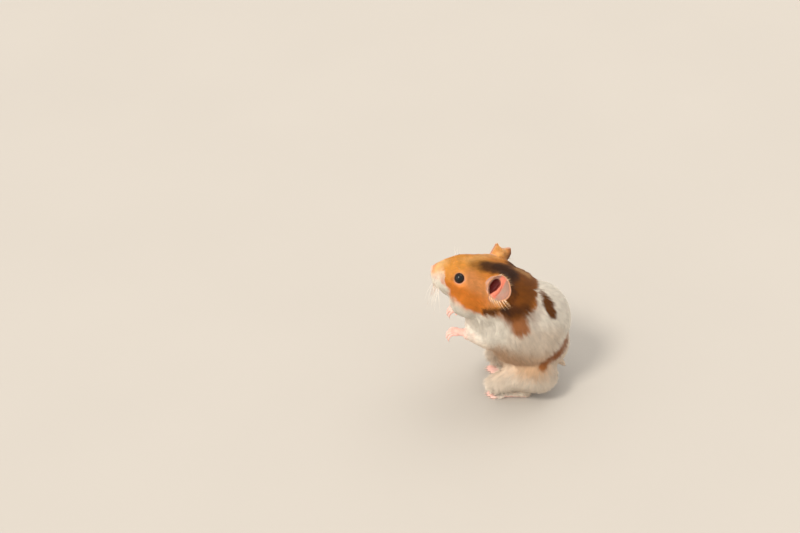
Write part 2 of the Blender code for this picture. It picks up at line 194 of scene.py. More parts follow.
# Marks over the white coat, in order, each a soft band between two places: colour, start, end,
# radius, softness of its edge, strength. The hood itself comes where its name stands.
MARKS = (
    # The cream bands on the belly and the lower flanks are partly the coat's own cream and partly painted
    # shade, with warm light bounced up from the floor.
    ("cream_and_painted_shade", (0, 42, 18), (0, 58, 14), 20, 0.60, 0.60),
    *both("cream_and_painted_shade", (17, 38, 33), (20, 58, 28), 9, 0.60, 0.62),
    *both("cream_and_painted_shade", (14, 28, 34), (20, 54, 25), 7, 0.80, 0.60),
    ("cream_and_painted_shade", (20, 50, 46), (16, 64, 42), 8, 0.60, 0.30),
    ("blush", (11.4, 18, 42.4), (12.4, 22, 41.6), 3.4, 0.6, 0.30),
    ("grey", (12, 58.5, 63), (19, 56, 56), 2.8, 0.60, 0.40),
    ("tongue", (20.4, 39, 61), (22, 45, 56.6), 3.4, 0.60, 0.60),
    ("tongue", (21, 47, 62), (22.3, 47.8, 54.6), 5.3, 0.32, 0.95),
    ("tongue", (-21, 45, 62), (-22.3, 44, 56.0), 4.6, 0.30, 0.9),
    ("patch", (4.0, 59.6, 65.6), (8.0, 61.4, 63.6), 2.0, 0.35, 0.85),
    ("patch", (7.5, 61.2, 63.6), (12.6, 64.8, 57.2), 2.7, 0.30, 1.0),
    ("patch", (-15, 64, 48), (-13, 67, 42), 3.6, 0.30, 0.9),
    ("band", (19, 60, 27.0), (13.4, 68.6, 30.6), 3.1, 0.40, 0.9),
    ("band", (13.4, 68.6, 30.6), (4, 75, 37), 3.5, 0.45, 0.85),
    ("hood", None, None, None, None, None),
    ("gold", (0, 4, 84), (0, 24, 86), 9.0, 0.45, 0.75),
    ("light", (0, 19, 87), (-7, 32, 86), 4.4, 0.50, 0.60),
    # Over the far ear the light gold is partly the ear's own gold and partly painted light, lifting it out of
    # the shade on that side.
    ("light", (-13, 34, 81), (-16, 38, 90), 7.5, 0.35, 0.55),
    *both("tan", (11, 21, 78), (17, 30, 72), 5.6, 0.6, 0.70),
    *both("russet", (10, 13, 71), (18, 25, 67), 5.4, 0.5, 0.85),
    ("brown", (20, 47.5, 70), (-20, 47.5, 70), 10.0, 0.30, 0.92),
    *both("brown", (22, 42, 63), (20, 53, 62), 5.6, 0.35, 0.85),
    ("chestnut", (16, 46, 70), (18, 45, 66), 3.4, 0.6, 0.55),
    ("light", (-6, 46, 77), (-5, 52, 72), 3.2, 0.5, 0.70),
    ("dark", (4.2, 23.5, 83.2), (3.6, 31, 82), 3.0, 0.9, 0.55),
    ("dark", (3.6, 30.5, 82.2), (3.2, 37, 80.8), 4.2, 0.5, 0.84),
    ("dark", (2.4, 37, 81.4), (2.4, 43.5, 77), 4.8, 0.4, 0.92),
    ("dark", (3, 42, 78), (12, 44, 72.5), 2.8, 0.6, 0.65),
    ("dark", (-5, 42, 78), (-13, 44, 71.5), 2.6, 0.6, 0.65),
    ("dark", (20.5, 29.5, 64.2), (20, 42, 63.2), 2.6, 0.45, 0.88),
    ("dark", (20, 41, 63.4), (17, 52, 63.4), 3.4, 0.45, 0.75),
    ("dark", (-20.5, 29.5, 64.2), (-20, 50, 63.2), 2.8, 0.45, 0.85),
    *both("white", (0, 0, 71), (7.4, 7.2, 70.3), 3.3, 0.45, 0.95),
    ("light", (0, 0, 79), (0, 6, 82), 3.6, 0.6, 0.75),
    *both("blush", (0, 1, 79.4), (3, 3, 75.6), 2.2, 0.7, 0.45),
    ("blush", (-15, 41, 84), (-17, 46, 80), 3.2, 0.5, 0.50),
    *both("blush", (7.8, 6.6, 77.6), (7.6, 7.2, 74.6), 1.5, 0.6, 0.60),
)
CLOUDS = (0.35, 3.0)  # of light and shade over the coat: waves for each millimetre, and detail
COLOUR_GRAIN = 0.14  # how much neighbouring hairs differ in brightness

PATCH_SIZE = 0.003  # of a tuft on the unwrapped skin
# A tuft is a closed spike: left, right and ridge of its root, and its tip.
TUFT_FACES = ((0, 1, 2), (0, 3, 1), (1, 3, 2), (0, 2, 3))
TUFT_UV = ((-0.5, 0.0), (0.5, 0.0), (0.0, -0.2), (0.0, 1.0))
TUFT_ALONG = (0.0, 0.0, 0.0, 1.0)
RIDGE = 0.42  # height of a tuft's ridge, as a share of its width
COLOUR_POINT = 0.55  # how far along a tuft its marking is read
LOCK_SIZE = 34  # tufts that gather into one lock
LOCK_PULL, LOCK_TURN = 0.34, 0.15  # how far tips draw together, and how far locks turn from the flow
RUFFLE, STRAY = (7.0, 0.22), 0.07  # a drift that locks share, by grain and strength, and a hair's own
THINNEST, WIDTH_SHARE = 0.085, 0.017  # of a tuft: its least width, and how it widens with length
COAT_BANDS = 8
HOOD_SOFTNESS = 1.3  # of the hood's edge
RAGGED_EDGES = ((0.16, 5.0), (0.8, 1.6))  # (waves for each millimetre, how far they move an edge)
COAT_SEED = 5
ROOT_SINK = 0.08  # how deep the roots stand in the skin
FACE_CROWDING = 1.9  # how many more tufts stand where the hair is shortest
LOWEST_TIP = 0.2  # above the floor
# How far a tuft is shaded like the skin under it, and the share of that where the skin faces down.
SOFT_NORMALS, SOFT_UNDERNEATH = 0.85, 0.3
# The light copy of the skin that is unwrapped for the coat.
GUIDE_FACES, UNWRAP_ANGLE = 6000, math.radians(66)
BAND_AXIS = (0.0, 0.75, -0.66)  # from the nose to the rump

CAMERA_TARGET, CAMERA_DISTANCE, CAMERA_RISE = 51.6, 1.19, math.radians(38)
CAMERA_LENS, CAMERA_SENSOR = 100.1, 36.0
# How far right of the picture's middle, and below it, the target stands, as shares of its width.
AIM_RIGHT, AIM_DOWN = 0.1265, 0.05125
FLOOR_SIZE, FLOOR_DROP = 6.0, 0.02
WORLD_COLOUR, WORLD_STRENGTH = (1.0, 0.95, 0.89), 0.96
# Each light is a soft sun: name, where it comes from, strength, width in degrees, colour.
LIGHTS = (
    ("key", (0.62, -0.50, 1.0), 2.1, 16, (1.0, 0.93, 0.83)),
    ("fill", (0.45, -0.85, 0.18), 0.55, 60, (1.0, 0.95, 0.87)),
    ("back", (-0.45, 0.35, 0.9), 0.55, 40, (1.0, 0.96, 0.90)),
)


def srgb(red, green, blue):
    """A colour written from 0 to 255, as on a paint chart, made linear."""
    return tuple(((value / 255 + 0.055) / 1.055) ** 2.4 for value in (red, green, blue))


def colour_property(name, *value):
    return FloatVectorProperty(
        name=name, description=f"Colour of the {name.lower()}", default=srgb(*value),
        subtype="COLOR", size=3, min=0, max=1,
    )


class HamsterSizes(bpy.types.PropertyGroup):
    """Sizes of the coat and of the small pieces."""

    coat_length: FloatProperty(
        name="Coat length", description="Length of the hair on the back", default=5.2 * MM, unit="LENGTH",
    )
    coat_depth: FloatProperty(
        name="Coat depth", description="How far the coat stands off the skin",
        default=1.7 * MM, unit="LENGTH",
    )
    tufts: IntProperty(name="Tufts", description="Number of tufts in the coat", default=372000, min=1000)
    whiskers: IntProperty(name="Whiskers", description="Whiskers on each side", default=22, min=0)
    ear_hairs: IntProperty(name="Ear hairs", description="Hairs over, and under, each ear", default=90, min=2)
    claw_length: FloatProperty(
        name="Claw length", description="Length of a claw past its toe", default=0.95 * MM, unit="LENGTH",
    )


class HamsterColours(bpy.types.PropertyGroup):
    """Colours of the coat and of the bare parts."""

    white: colour_property("White coat", 255, 246, 231)
    # Partly the coat's own cream, partly painted shade and warm bounced light on the belly and flanks.
    cream_and_painted_shade: colour_property("Cream and painted shade", 214, 170, 128)
    light: colour_property("Light gold", 246, 192, 122)
    gold: colour_property("Gold crown", 240, 166, 74)
    orange: colour_property("Orange hood", 226, 142, 58)
    tan: colour_property("Tan cheek", 224, 152, 96)
    russet: colour_property("Russet cheek", 232, 134, 46)
    tongue: colour_property("Shoulder mark", 184, 114, 60)
    chestnut: colour_property("Chestnut neck", 150, 84, 28)
    band: colour_property("Rump mark", 164, 92, 24)
    brown: colour_property("Brown neck", 128, 70, 14)
    patch: colour_property("Brown patch", 108, 62, 24)
    dark: colour_property("Dark streaks", 66, 38, 22)
    blush: colour_property("Whisker pad", 224, 134, 100)
    pink: colour_property("Pink skin", 249, 197, 184)
    nose: colour_property("Nose", 246, 178, 152)
    red_skin_and_painted_shade: colour_property("Ear hollow", 92, 18, 16)
    flesh: colour_property("Ear folds", 222, 130, 106)
    grey: colour_property("Ear flap", 158, 130, 116)
    rim: colour_property("Ear rim", 190, 138, 108)
    lid: colour_property("Eyelids", 84, 60, 60)
    claw: colour_property("Claws", 238, 214, 198)
    eye: colour_property("Eyes", 8, 5, 5)
    floor: colour_property("Floor", 186, 181, 174)


# --- Places and numbers ---------------------------------------------------------------------------

def place(side, back, up, sign=1):
    """The point at a place, in metres, on one side of the middle plane."""
    return Vector((side * sign * MM, NOSE_TIP + back * MM, up * MM))


def places(stations, sign=1):
    """An array of the points at some places."""
    return np.array([place(*station, sign) for station in stations])


def smooth_step(low, high, values):
    """0 below low, 1 above high, and an even S between them."""
    share = np.clip((values - low) / (high - low), 0, 1)
    return share * share * (3 - 2 * share)


def rise(gaps, low, high):
    """The same step over distances, with its ends in millimetres."""
    return smooth_step(low * MM, high * MM, gaps)


def fade(gaps, low, high):
    """1 nearer than low, 0 farther than high."""
    return 1 - rise(gaps, low, high)


def unit(vectors):
    return vectors / np.maximum(np.linalg.norm(vectors, axis=-1, keepdims=True), 1e-12)


def gap_to(points, spot):
    """How far each point is from one spot."""
    return np.linalg.norm(points - np.array(spot), axis=1)


def nose_distance(points):
    return gap_to(points, place(*NOSE_MIDDLE))


def node_centre(name):
    low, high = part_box(name)
    return (low + high) / 2


def read(items, key, width=1, kind=float):
    """A value, or a row of values, of each item of a mesh."""
    values = np.zeros(len(items) * width, kind)
    items.foreach_get(key, values)
    return values.reshape(-1, width) if width > 1 else values


def triangles(mesh):
    """The vertices of each triangle of a mesh."""
    mesh.calc_loop_triangles()
    return read(mesh.loop_triangles, "vertices", 3, np.int32)


def surface_tree(obj):
    return BVHTree.FromPolygons([v.co for v in obj.data.vertices], triangles(obj.data).tolist())


def distance_to(names, points, reach):
    """How far each point is from the nearest of some nodes, up to a reach in millimetres."""
    result = np.full(len(points), reach * MM)
    for name in names:
        tree = surface_tree(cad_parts[name])
        low, high = (np.array(corner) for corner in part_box(name))
        near = np.all((points > low - reach * MM) & (points < high + reach * MM), axis=1)
        for index in np.nonzero(near)[0]:
            result[index] = min(result[index], tree.find_nearest(Vector(points[index]))[3])
    return result


def line_distance(points, line):
    """How far each point is from a line through some places, and the line's direction nearest to it."""
    best = np.full(len(points), np.inf)
    along = np.zeros_like(points)
    for start, end in zip(line, line[1:]):
        run = end - start
        share = np.clip((points - start) @ run / (run @ run), 0, 1)
        gap = np.linalg.norm(points - start - share[:, None] * run, axis=1)
        closer = gap < best
        best[closer] = gap[closer]
        along[closer] = run / np.linalg.norm(run)
    return best, along


# --- Modelling by hand ----------------------------------------------------------------------------

def pick(*objects):
    """Select these objects alone, or none, and make the first the active one."""
    bpy.ops.object.select_all(action="DESELECT")
    for obj in objects:
        obj.select_set(True)
    if objects:
        bpy.context.view_layer.objects.active = objects[0]


def edit(obj, *steps):
    """Run some edit-mode steps on an object."""
    pick(obj)
    bpy.ops.object.mode_set(mode="EDIT")
    for step in steps:
        step()
    bpy.ops.object.mode_set(mode="OBJECT")


def select_all():
    bpy.ops.mesh.select_mode(type="VERT")
    bpy.ops.mesh.select_all(action="SELECT")


def select_vertices(obj, chosen):
    """Mark an object's chosen vertices, and the faces that they alone span, as selected."""
    mesh = obj.data
    mesh.vertices.foreach_set("select", chosen)
    mesh.edges.foreach_set("select", chosen[read(mesh.edges, "vertices", 2, np.int32)].all(axis=1))
    corners = read(mesh.loops, "vertex_index", kind=np.int32)
    starts = read(mesh.polygons, "loop_start", kind=np.int32)
    mesh.polygons.foreach_set("select", np.logical_and.reduceat(chosen[corners], starts))


def add_modifier(obj, kind, **settings):
    """Put a modifier on an object and apply it."""
    pick(obj)
    modifier = obj.modifiers.new(kind.lower(), kind)
    for key, value in settings.items():
        setattr(modifier, key, value)
    bpy.ops.object.modifier_apply(modifier=modifier.name)


def settle(obj):
    """Put an object's place, turn and size in its mesh."""
    pick(obj)
    bpy.ops.object.transform_apply(location=True, rotation=True, scale=True)


def join(objects, name):
    """Join some objects into one."""
    pick(*objects)
    if len(objects) > 1:
        bpy.ops.object.join()
    objects[0].name = name
    objects[0].data.name = name
    return objects[0]


def add_ball(centre, radii, segments=12):
    pick()
    bpy.ops.mesh.primitive_uv_sphere_add(segments=segments, ring_count=segments // 2, location=centre)
    ball = bpy.context.object
    ball.scale = radii
    settle(ball)
    return ball


def new_object(name, data):
    obj = bpy.data.objects.new(name, data)
    bpy.context.collection.objects.link(obj)
    return obj


def vertex_places(obj):
    return read(obj.data.vertices, "co", 3)


def vertex_normals(obj):
    return read(obj.data.vertices, "normal", 3)


def move_vertices(obj, co):
    obj.data.vertices.foreach_set("co", np.ascontiguousarray(co, np.float32).ravel())
    obj.data.update()


def set_values(obj, name, values, kind="FLOAT"):
    """Store a value, or a vector, for each vertex."""
    key = "vector" if kind == "FLOAT_VECTOR" else "value"
    layer = obj.data.attributes.new(name, kind, "POINT")
    layer.data.foreach_set(key, np.ravel(values).astype(np.float32))


def get_values(obj, name):
    return read(obj.data.attributes[name].data, "value")


def set_bake_map(obj, uv):
    layer = obj.data.uv_layers.new(name="OFBake")
    layer.data.foreach_set("uv", uv.astype(np.float32).ravel())


# --- Skin -----------------------------------------------------------------------------------------

def flesh_copy(name):
    """A merged copy of a node, swollen where it is furred, so that neighbours overlap."""
    twin = new_object(f"{name}_flesh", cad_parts[name].data.copy())
    twin.data.materials.clear()
    edit(twin, select_all, lambda: bpy.ops.mesh.remove_doubles(threshold=0.01 * MM))
    if name in FURRED:
        add_modifier(twin, "DISPLACE", strength=SWELL * MM, mid_level=0)
    if name in EARS:
        lower_ear(name.removeprefix("ear_"), twin)
    return twin


def ear_axes(name):
    """The ear's own level, upward and outward directions."""
    facing = Vector(EAR_SHAPES[name]["faces"]).normalized()
    level = Vector((0, 0, 1)).cross(facing).normalized()
    return level, facing.cross(level), facing


def ear_point(name, across, along, deep):
    """A point of the ear's cup: shares of its half width, rearward, and half height, and a depth."""
    shape, sign = EAR_SHAPES[name], SIDES[name]
    tip = max(along, 0) ** 2
    folded = shape["fold"] * max(across, 0) if along > 0 else 0
    narrowed = 1 - shape["taper"] * (along + 0.5 * along * along)
    local = Vector((
        sign * (across * EAR_WIDTH / 2 * narrowed - shape["sweep"] * tip),
        along * EAR_HEIGHT / 2 * shape["height"] * (1 - folded),
        deep - tip,
    )) * MM
    local.y -= ear_drop(name, local.y)
    return place(*EAR_PLACE, sign) + Matrix(ear_axes(name)).transposed() @ local


def ear_drop(name, level):
    """How far the skin of an ear lies below its solid, at a height over the ear's middle."""
    shape = EAR_SHAPES[name]
    return shape["lower"] * (level + EAR_HEIGHT / 2 * shape["height"] * MM)


def lower_ear(name, ear):
    """Bring the copy of an ear down from the tips of its hairs to its skin."""
    co = vertex_places(ear)
    upward = np.array(ear_axes(name)[1])
    level = (co - np.array(place(*EAR_PLACE, SIDES[name]))) @ upward
    move_vertices(ear, co - upward * ear_drop(name, level)[:, None])


def ear_wall_depth(across, along):
    """How deep the cup's wall lies at a share of its width and height."""
    return -EAR_DEPTH * math.sqrt(max(0, 1 - across * across - along * along))


def add_rope(stations):
    """Balls in a close row through some (point, radius) stations."""
    balls = []
    for (start, first), (end, last) in zip(stations, stations[1:]):
        steps = max(1, math.ceil((end - start).length / (0.5 * min(first, last))))
        for step in range(steps):
            share = step / steps
            balls.append(add_ball(start.lerp(end, share), [first + (last - first) * share] * 3, 8))
    return balls


def rim_points(name):
    """The ear's rim, open low down in front."""
    angles = [math.radians(RIM_START + RIM_ARC * step / RIM_STEPS) for step in range(RIM_STEPS + 1)]
    return [ear_point(name, math.cos(angle), math.sin(angle), EAR_RIM * EAR_DEPTH) for angle in angles]


def fold_points(name, fold):
    """The middle line of a fold inside the ear's cup."""
    return [
        ear_point(name, across, along, ear_wall_depth(across, along) + ahead)
        for across, along, ahead, _ in fold
    ]


def ear_details(name):
    """The rolled rim of an ear and the folds inside its cup."""
    balls = add_rope([(point, EAR_RIM_RADIUS * MM) for point in rim_points(name)])
    for fold in EAR_FOLDS:
        radii = [radius * MM for *_, radius in fold]
        balls += add_rope(list(zip(fold_points(name, fold), radii)))
    return balls


def fuse_flesh():
    """One closed surface over copies of all the solids, with the ears' rims and folds."""
    pieces = [flesh_copy(name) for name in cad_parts]
    for name in SIDES:
        pieces += ear_details(name)
    skin = join(pieces, "skin")
    add_modifier(skin, "REMESH", mode="VOXEL", voxel_size=VOXEL * MM)
    return skin


def press(co, normals, hollows, sign=1):
    """Push the skin in, or out where a depth is negative, under a row of soft round thumbs."""
    for spot, radii, depth in hollows:
        gap = (co - np.array(place(*spot, sign))) / (np.array(radii) * MM)
        co = co - normals * (depth * MM * np.exp(-(gap ** 2).sum(axis=1)))[:, None]
    return co


def groove(co, normals, line, width, depth):
    """Press a groove along a line."""
    gap, _ = line_distance(co, line)
    return co - normals * (depth * MM * fade(gap, 0, width))[:, None]


def snapped(tree, stations, sign=1):
    """Places brought onto the surface, as an array of points."""
    return np.array([tree.find_nearest(Vector(point))[0] for point in places(stations, sign)])


def open_eye(co, name, sign):
    """Lay the lids over the eyeball, and sink the skin under it between them."""
    low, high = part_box(f"eye_{name}")
    centre, radius = np.array((low + high) / 2), (high - low).z / 2
    reach, gap = co - centre, gap_to(co, centre)
    facing = (reach @ unit(np.array(EYE_AXIS) * (sign, 1, 1))) / np.maximum(gap, 1e-9)
    angle = np.degrees(np.arccos(np.clip(facing, -1, 1)))
    near = (gap < radius * 2.2) & (angle < 120)
    past = angle - EYE_OPENING  # degrees past the lids' edge
    roll = np.cos(np.radians(np.clip(past - 8, -30, 90) * 2.4))
    lid = radius + LID_THICKNESS * MM * (0.55 + 0.45 * roll)
    hold = 1 - smooth_step(EYE_OPENING + LID_END[0], EYE_OPENING + LID_END[1], angle)
    over = np.maximum(gap, lid) * hold + gap * (1 - hold)
    open_share = 1 - smooth_step(EYE_OPENING - 4, EYE_OPENING + 1, angle)
    target = (radius - EYE_SINK * MM) * open_share + over * (1 - open_share)
    result = co.copy()
    result[near] = centre + reach[near] * (target / np.maximum(gap, 1e-9))[near, None]
    return result


def shape_face(skin):
    """Eyelids, nostrils, the split of the upper lip, the mouth and the whisker pads."""
    co, normals = vertex_places(skin), vertex_normals(skin)
    tree = surface_tree(skin)
    co = press(co, normals, NOSE_HOLLOWS)
    co = groove(co, normals, snapped(tree, PHILTRUM), *LIP_GROOVE)
    for name, sign in SIDES.items():
        co = press(co, normals, NOSTRIL_HOLLOWS, sign)
        co = groove(co, normals, snapped(tree, MOUTH, sign), *MOUTH_GROOVE)
        co = press(co, normals, CHEEK_HOLLOWS, sign)
        co = open_eye(co, name, sign)
    move_vertices(skin, co)


def inside_ear(name, points, normals):
    """1 on the inner side of an ear's cup, 0 on its back."""
    near = gap_to(points, node_centre(f"ear_{name}")) < EAR_HEIGHT * MM
    toward = unit(np.array(ear_point(name, 0, 0, EAR_DEPTH)) - points)
    return np.where(near, smooth_step(-0.40, 0.0, (normals * toward).sum(axis=1)), 0)


def ear_hollow(name, points):
    """1 in the dark hollow that leads into an ear, whose dark red is partly painted shade, 0 beyond its soft
    edge.
    """
    result = np.zeros(len(points))
    for share in np.linspace(0, len(EAR_HOLLOW) - 1, HOLLOW_STEPS):
        across, along, radius = (np.interp(share, range(len(EAR_HOLLOW)), row) for row in zip(*EAR_HOLLOW))
        middle = ear_point(name, across, along, ear_wall_depth(across, along))
        result = np.maximum(result, fade(gap_to(points, middle), 0.75 * radius, 1.25 * radius))
    return result


def hollow_ears(skin):
    """Press the hollow that leads into each ear, in front of its folds."""
    co = vertex_places(skin)
    on_ear = fade(distance_to(EARS, co, 3), 0.9, 1.6)
    for name in SIDES:
        facing = np.array(ear_axes(name)[2])
        co = co - facing * (HOLLOW_DEPTH * MM * ear_hollow(name, co) * on_ear)[:, None]
    move_vertices(skin, co)


def bare_distance(points):
    """How far each point is from the nearest part that isn't under the thick coat."""
    return distance_to((*PAWS, *EARS, *EYES, "nose", "tail"), points, BARE_REACH)


def behind_nose(points):
    return points[:, 1] / MM - NOSE_TIP / MM


def joint_weights(points):
    """1 at the wrists and round the ankles, where a limb runs out into its paw."""
    wrists = [fade(gap_to(points, place(*WRIST, sign)), 2.6, 5.2) for sign in SIDES.values()]
    up, back = points[:, 2] / MM, behind_nose(points)
    ankles = smooth_step(1.4, 3.2, up) * (1 - smooth_step(8, 12, up)) * smooth_step(34, 38, back)
    return np.max((*wrists, ankles), axis=0)


def bare_paws(points):
    """1 on the naked skin of the paws: the fingers, the thinly haired wrists, the toes and the soles."""
    paw = fade(distance_to(PAWS, points, 3), 0.3, 1.3)
    up, back = points[:, 2] / MM, behind_nose(points)
    toes = (1 - smooth_step(34.5, 38.5, back)) * (up < 20)
    soles = 1 - smooth_step(1.0, 2.2, up)
    fingers = (back < 16.5) * (up > 20)
    forearms = [line_distance(points, places(LIMB_LINES[0][2:], sign))[0] for sign in SIDES.values()]
    wrists = (1 - smooth_step(16.0, 23.5, back)) * fade(np.min(forearms, axis=0), 3.8, 4.8)
    return np.max((paw * toes, paw * soles, paw * fingers, wrists), axis=0)


def sink_skin(skin, bare, depth):
    """Move the skin in from the outline of the coat to the coat's root."""
    sunk = SWELL * MM * rise(bare, 0.05, 1.2) + depth
    move_vertices(skin, vertex_places(skin) - vertex_normals(skin) * sunk[:, None])


def body_lines():
    """The middle lines of the body and then of the four limbs."""
    return [places(BODY_LINE)] + [places(limb, sign) for limb in LIMB_LINES for sign in SIDES.values()]


def girth(points):
    """How far each point is from the middle of the body or of the limb that it is on."""
    return np.min([line_distance(points, line)[0] for line in body_lines()], axis=0)


def coat_depths(points, bare, sizes):
    """How far the coat stands off the skin: least round the nose, eyes, ears and paws."""
    toward_back = rise(nose_distance(points), 6, 44)
    depth = sizes.coat_depth * (SHALLOW + (1 - SHALLOW) * toward_back) * rise(bare, 0.3, 6)
    return np.minimum(depth, DEPTH_SHARE * girth(points))


def coat_lengths(points, ear, sizes):
    """Length of the hair, shortest on the nose, round the eyes and next to the bare parts."""
    toward_back = rise(nose_distance(points), 5, 50) ** 1.3
    full = SHORTEST_HAIR * MM + (sizes.coat_length - SHORTEST_HAIR * MM) * toward_back
    bare = distance_to((*FOREPAWS, *EARS, "nose", "tail"), points, BARE_REACH)
    lids = distance_to(EYES, points, BARE_REACH)
    full *= BARE_HAIR + (1 - BARE_HAIR) * rise(bare, 0.2, 6)
    full *= LID_HAIR + (1 - LID_HAIR) * rise(lids, 0.3, 2.6)
    return np.minimum(full, LENGTH_SHARE * girth(points)) * (1 - (1 - EAR_HAIR) * ear)


def refine_details(skin):
    """Finer faces round the nose, the mouth and the eyes."""
    co = vertex_places(skin)
    close = gap_to(co, place(*SNOUT)) < SNOUT_REACH * MM
    for name in EYES:
        close |= gap_to(co, node_centre(name)) < EYE_REACH * MM
    pick(skin)
    select_vertices(skin, close)
    edit(skin, lambda: bpy.ops.mesh.subdivide(number_cuts=1))


def thin_hidden(skin, bare):
    """Fewer faces where the coat hides the skin."""
    far_back = nose_distance(vertex_places(skin)) > HIDDEN_FROM_NOSE * MM
    hidden = (bare > HIDDEN_FROM_BARE * MM) & far_back
    select_vertices(skin, hidden)
    edit(skin, lambda: bpy.ops.mesh.decimate(ratio=HIDDEN_FACES))


def add_group(obj, name, weights):
    """A vertex group with its own weight for each vertex, in steps of a tenth."""
    group = obj.vertex_groups.new(name=name)
    steps = np.round(weights * 10).astype(int)
    for step in range(1, 11):
        group.add(np.nonzero(steps == step)[0].tolist(), step / 10, "REPLACE")


def make_skin(sizes):
    skin = fuse_flesh()
    co = vertex_places(skin)
    bare = bare_distance(co)
    add_group(skin, "soft", rise(bare, 0.8, 5) * rise(girth(co), 1.5, 7))
    add_group(skin, "joints", joint_weights(co))
    for group, rounds in (("soft", SOFTEN_COAT), ("joints", SOFTEN_JOINTS), ("", SOFTEN_ALL)):
        add_modifier(skin, "SMOOTH", factor=0.5, iterations=rounds, vertex_group=group)
    skin.vertex_groups.clear()
    sink_skin(skin, bare, coat_depths(vertex_places(skin), bare, sizes))
    hollow_ears(skin)
    refine_details(skin)
    shape_face(skin)
    thin_hidden(skin, bare_distance(vertex_places(skin)))
    finish_surface(skin)
    store_skin_values(skin, sizes)
    return skin


def finish_surface(obj):
    """Faces turned outward, and shaded smooth."""
    edit(obj, select_all, lambda: bpy.ops.mesh.normals_make_consistent(inside=False))
    pick(obj)
    bpy.ops.object.shade_smooth()


def store_skin_values(skin, sizes):
    """What the material and the coat read from the skin: how bare it is, and which parts are which."""
    co, normals = vertex_places(skin), vertex_normals(skin)
    near_ear = distance_to(EARS, co, 3)
    ear = fade(near_ear, 0.4, 1.4)
    inside, hollow, fold, rim = (np.zeros(len(co)) for _ in range(4))
    for name in SIDES:
        sunk = ear_hollow(name, co) * smooth_step(-0.25, 0.1, normals @ np.array(ear_axes(name)[2]))
        sunk *= fade(near_ear, 1.8, 2.8)
        hollow = np.maximum(hollow, sunk)
        rim = np.maximum(rim, fade(line_distance(co, np.array(rim_points(name)))[0], 0.55, 1.05))
        gap, _ = line_distance(co, np.array(fold_points(name, EAR_FOLDS[0])))
        fold = np.maximum(fold, fade(gap, 1.2, 2.3))
        on_ear = np.maximum(ear, fade(gap, 2.2, 2.8))
        inside = np.max((inside, inside_ear(name, co, normals) * on_ear, sunk), axis=0)
    lid = fade(distance_to(EYES, co, 3), 0.10, 0.45)
    nose = fade(distance_to(("nose",), co, 3), 0.1, 0.8)
    for name, values in {
        "bare": np.max((bare_paws(co), inside, rim, lid, nose), axis=0),
        "lid": lid,
        "nose": nose,
        "coat_depth": coat_depths(co, bare_distance(co), sizes),
        "coat_length": coat_lengths(co, ear, sizes),
        "ear": ear,
        "ear_inside": np.maximum(inside, rim),
        "ear_rim": rim * (1 - hollow),
        "ear_hollow": hollow,
        "ear_fold": inside * fold,
    }.items():
        set_values(skin, name, values)


# --- Coat -----------------------------------------------------------------------------------------

def lie_of_coat(points, normals, ear):
    """The way the hair lies: from the nose back along the body, down the limbs, round eyes and ears."""
    flow = np.zeros_like(points)
    for number, line in enumerate(body_lines()):
        gap, along = line_distance(points, line)
        pull = (LIMB_PULL if number else BODY_PULL) * MM
        flow += along / ((gap / pull) ** 2 + 0.4)[:, None] ** 1.5
    flow = unit(flow)
    flow[:, 2] -= 0.28 * rise(nose_distance(points), 20, 40)
    partings = [(place(*NOSE_MIDDLE), 6, 1.6)]
    partings += [(node_centre(name), 4.5, 1.0) for name in EYES]
    partings += [(node_centre(name), 9, 0.5) for name in EARS]
    for middle, reach, strength in partings:
        away, gap = points - np.array(middle), gap_to(points, middle)
        push = strength * np.exp(-(gap / (reach * MM)) ** 2)
        flow += away / np.maximum(gap, 1e-9)[:, None] * push[:, None] * PARTING
    for name, sign in SIDES.items():
        flow += EAR_LIE * np.array(ear_axes(name)[1]) * (ear * (points[:, 0] * sign > 0))[:, None]
    return along_skin(flow, normals)


def along_skin(ways, normals):
    """Directions laid flat on the skin."""
    return unit(ways - normals * (ways * normals).sum(axis=1)[:, None])


def ruffle(points, grain, strength):
    """A drift that neighbouring hairs share."""
    return strength * np.array([noise.noise_vector(Vector(point) / (grain * MM)) for point in points])


def lock_middles(roots, rng):
    """For each tuft, the tuft in the middle of the lock that it belongs to."""
    middles = rng.choice(len(roots), len(roots) // LOCK_SIZE, replace=False)
    tree = KDTree(len(middles))
    for number, index in enumerate(middles):
        tree.insert(roots[index], number)
    tree.balance()
    return middles[[tree.find(root)[1] for root in roots]]


def guide_unwrap(skin):
    """A light copy of the skin, unwrapped: the surface tree, the corners' places and their UVs."""
    guide = new_object("guide", skin.data.copy())
    share = GUIDE_FACES / len(guide.data.polygons)
    add_modifier(guide, "DECIMATE", ratio=share, use_collapse_triangulate=True)
    edit(guide, select_all, lambda: bpy.ops.uv.smart_project(angle_limit=UNWRAP_ANGLE, island_margin=0.01))
    mesh, tree = guide.data, surface_tree(guide)
    loops = read(mesh.loop_triangles, "loops", 3, np.int32)
    corners, uv = vertex_places(guide)[triangles(mesh)], read(mesh.uv_layers.active.data, "uv", 2)[loops]
    bpy.data.objects.remove(guide)
    return tree, corners, uv


def unwrapped(points, guide):
    """Where points of the skin lie on its unwrap."""
    tree, corners, uvs = guide
    hits = [tree.find_nearest(Vector(point)) for point in points]
    index = np.array([hit[2] for hit in hits])
    spot = np.array([hit[0] for hit in hits])
    a, b, c = (corners[index, corner] for corner in range(3))
    u, v, w = b - a, c - a, spot - a
    uu, uv, vv = (u * u).sum(1), (u * v).sum(1), (v * v).sum(1)
    wu, wv = (w * u).sum(1), (w * v).sum(1)
    scale = np.maximum(uu * vv - uv * uv, 1e-24)
    second = np.clip((vv * wu - uv * wv) / scale, 0, 1)
    third = np.clip((uu * wv - uv * wu) / scale, 0, 1 - second)
    shares = np.stack((1 - second - third, second, third), axis=1)
    return (uvs[index] * shares[:, :, None]).sum(axis=1)


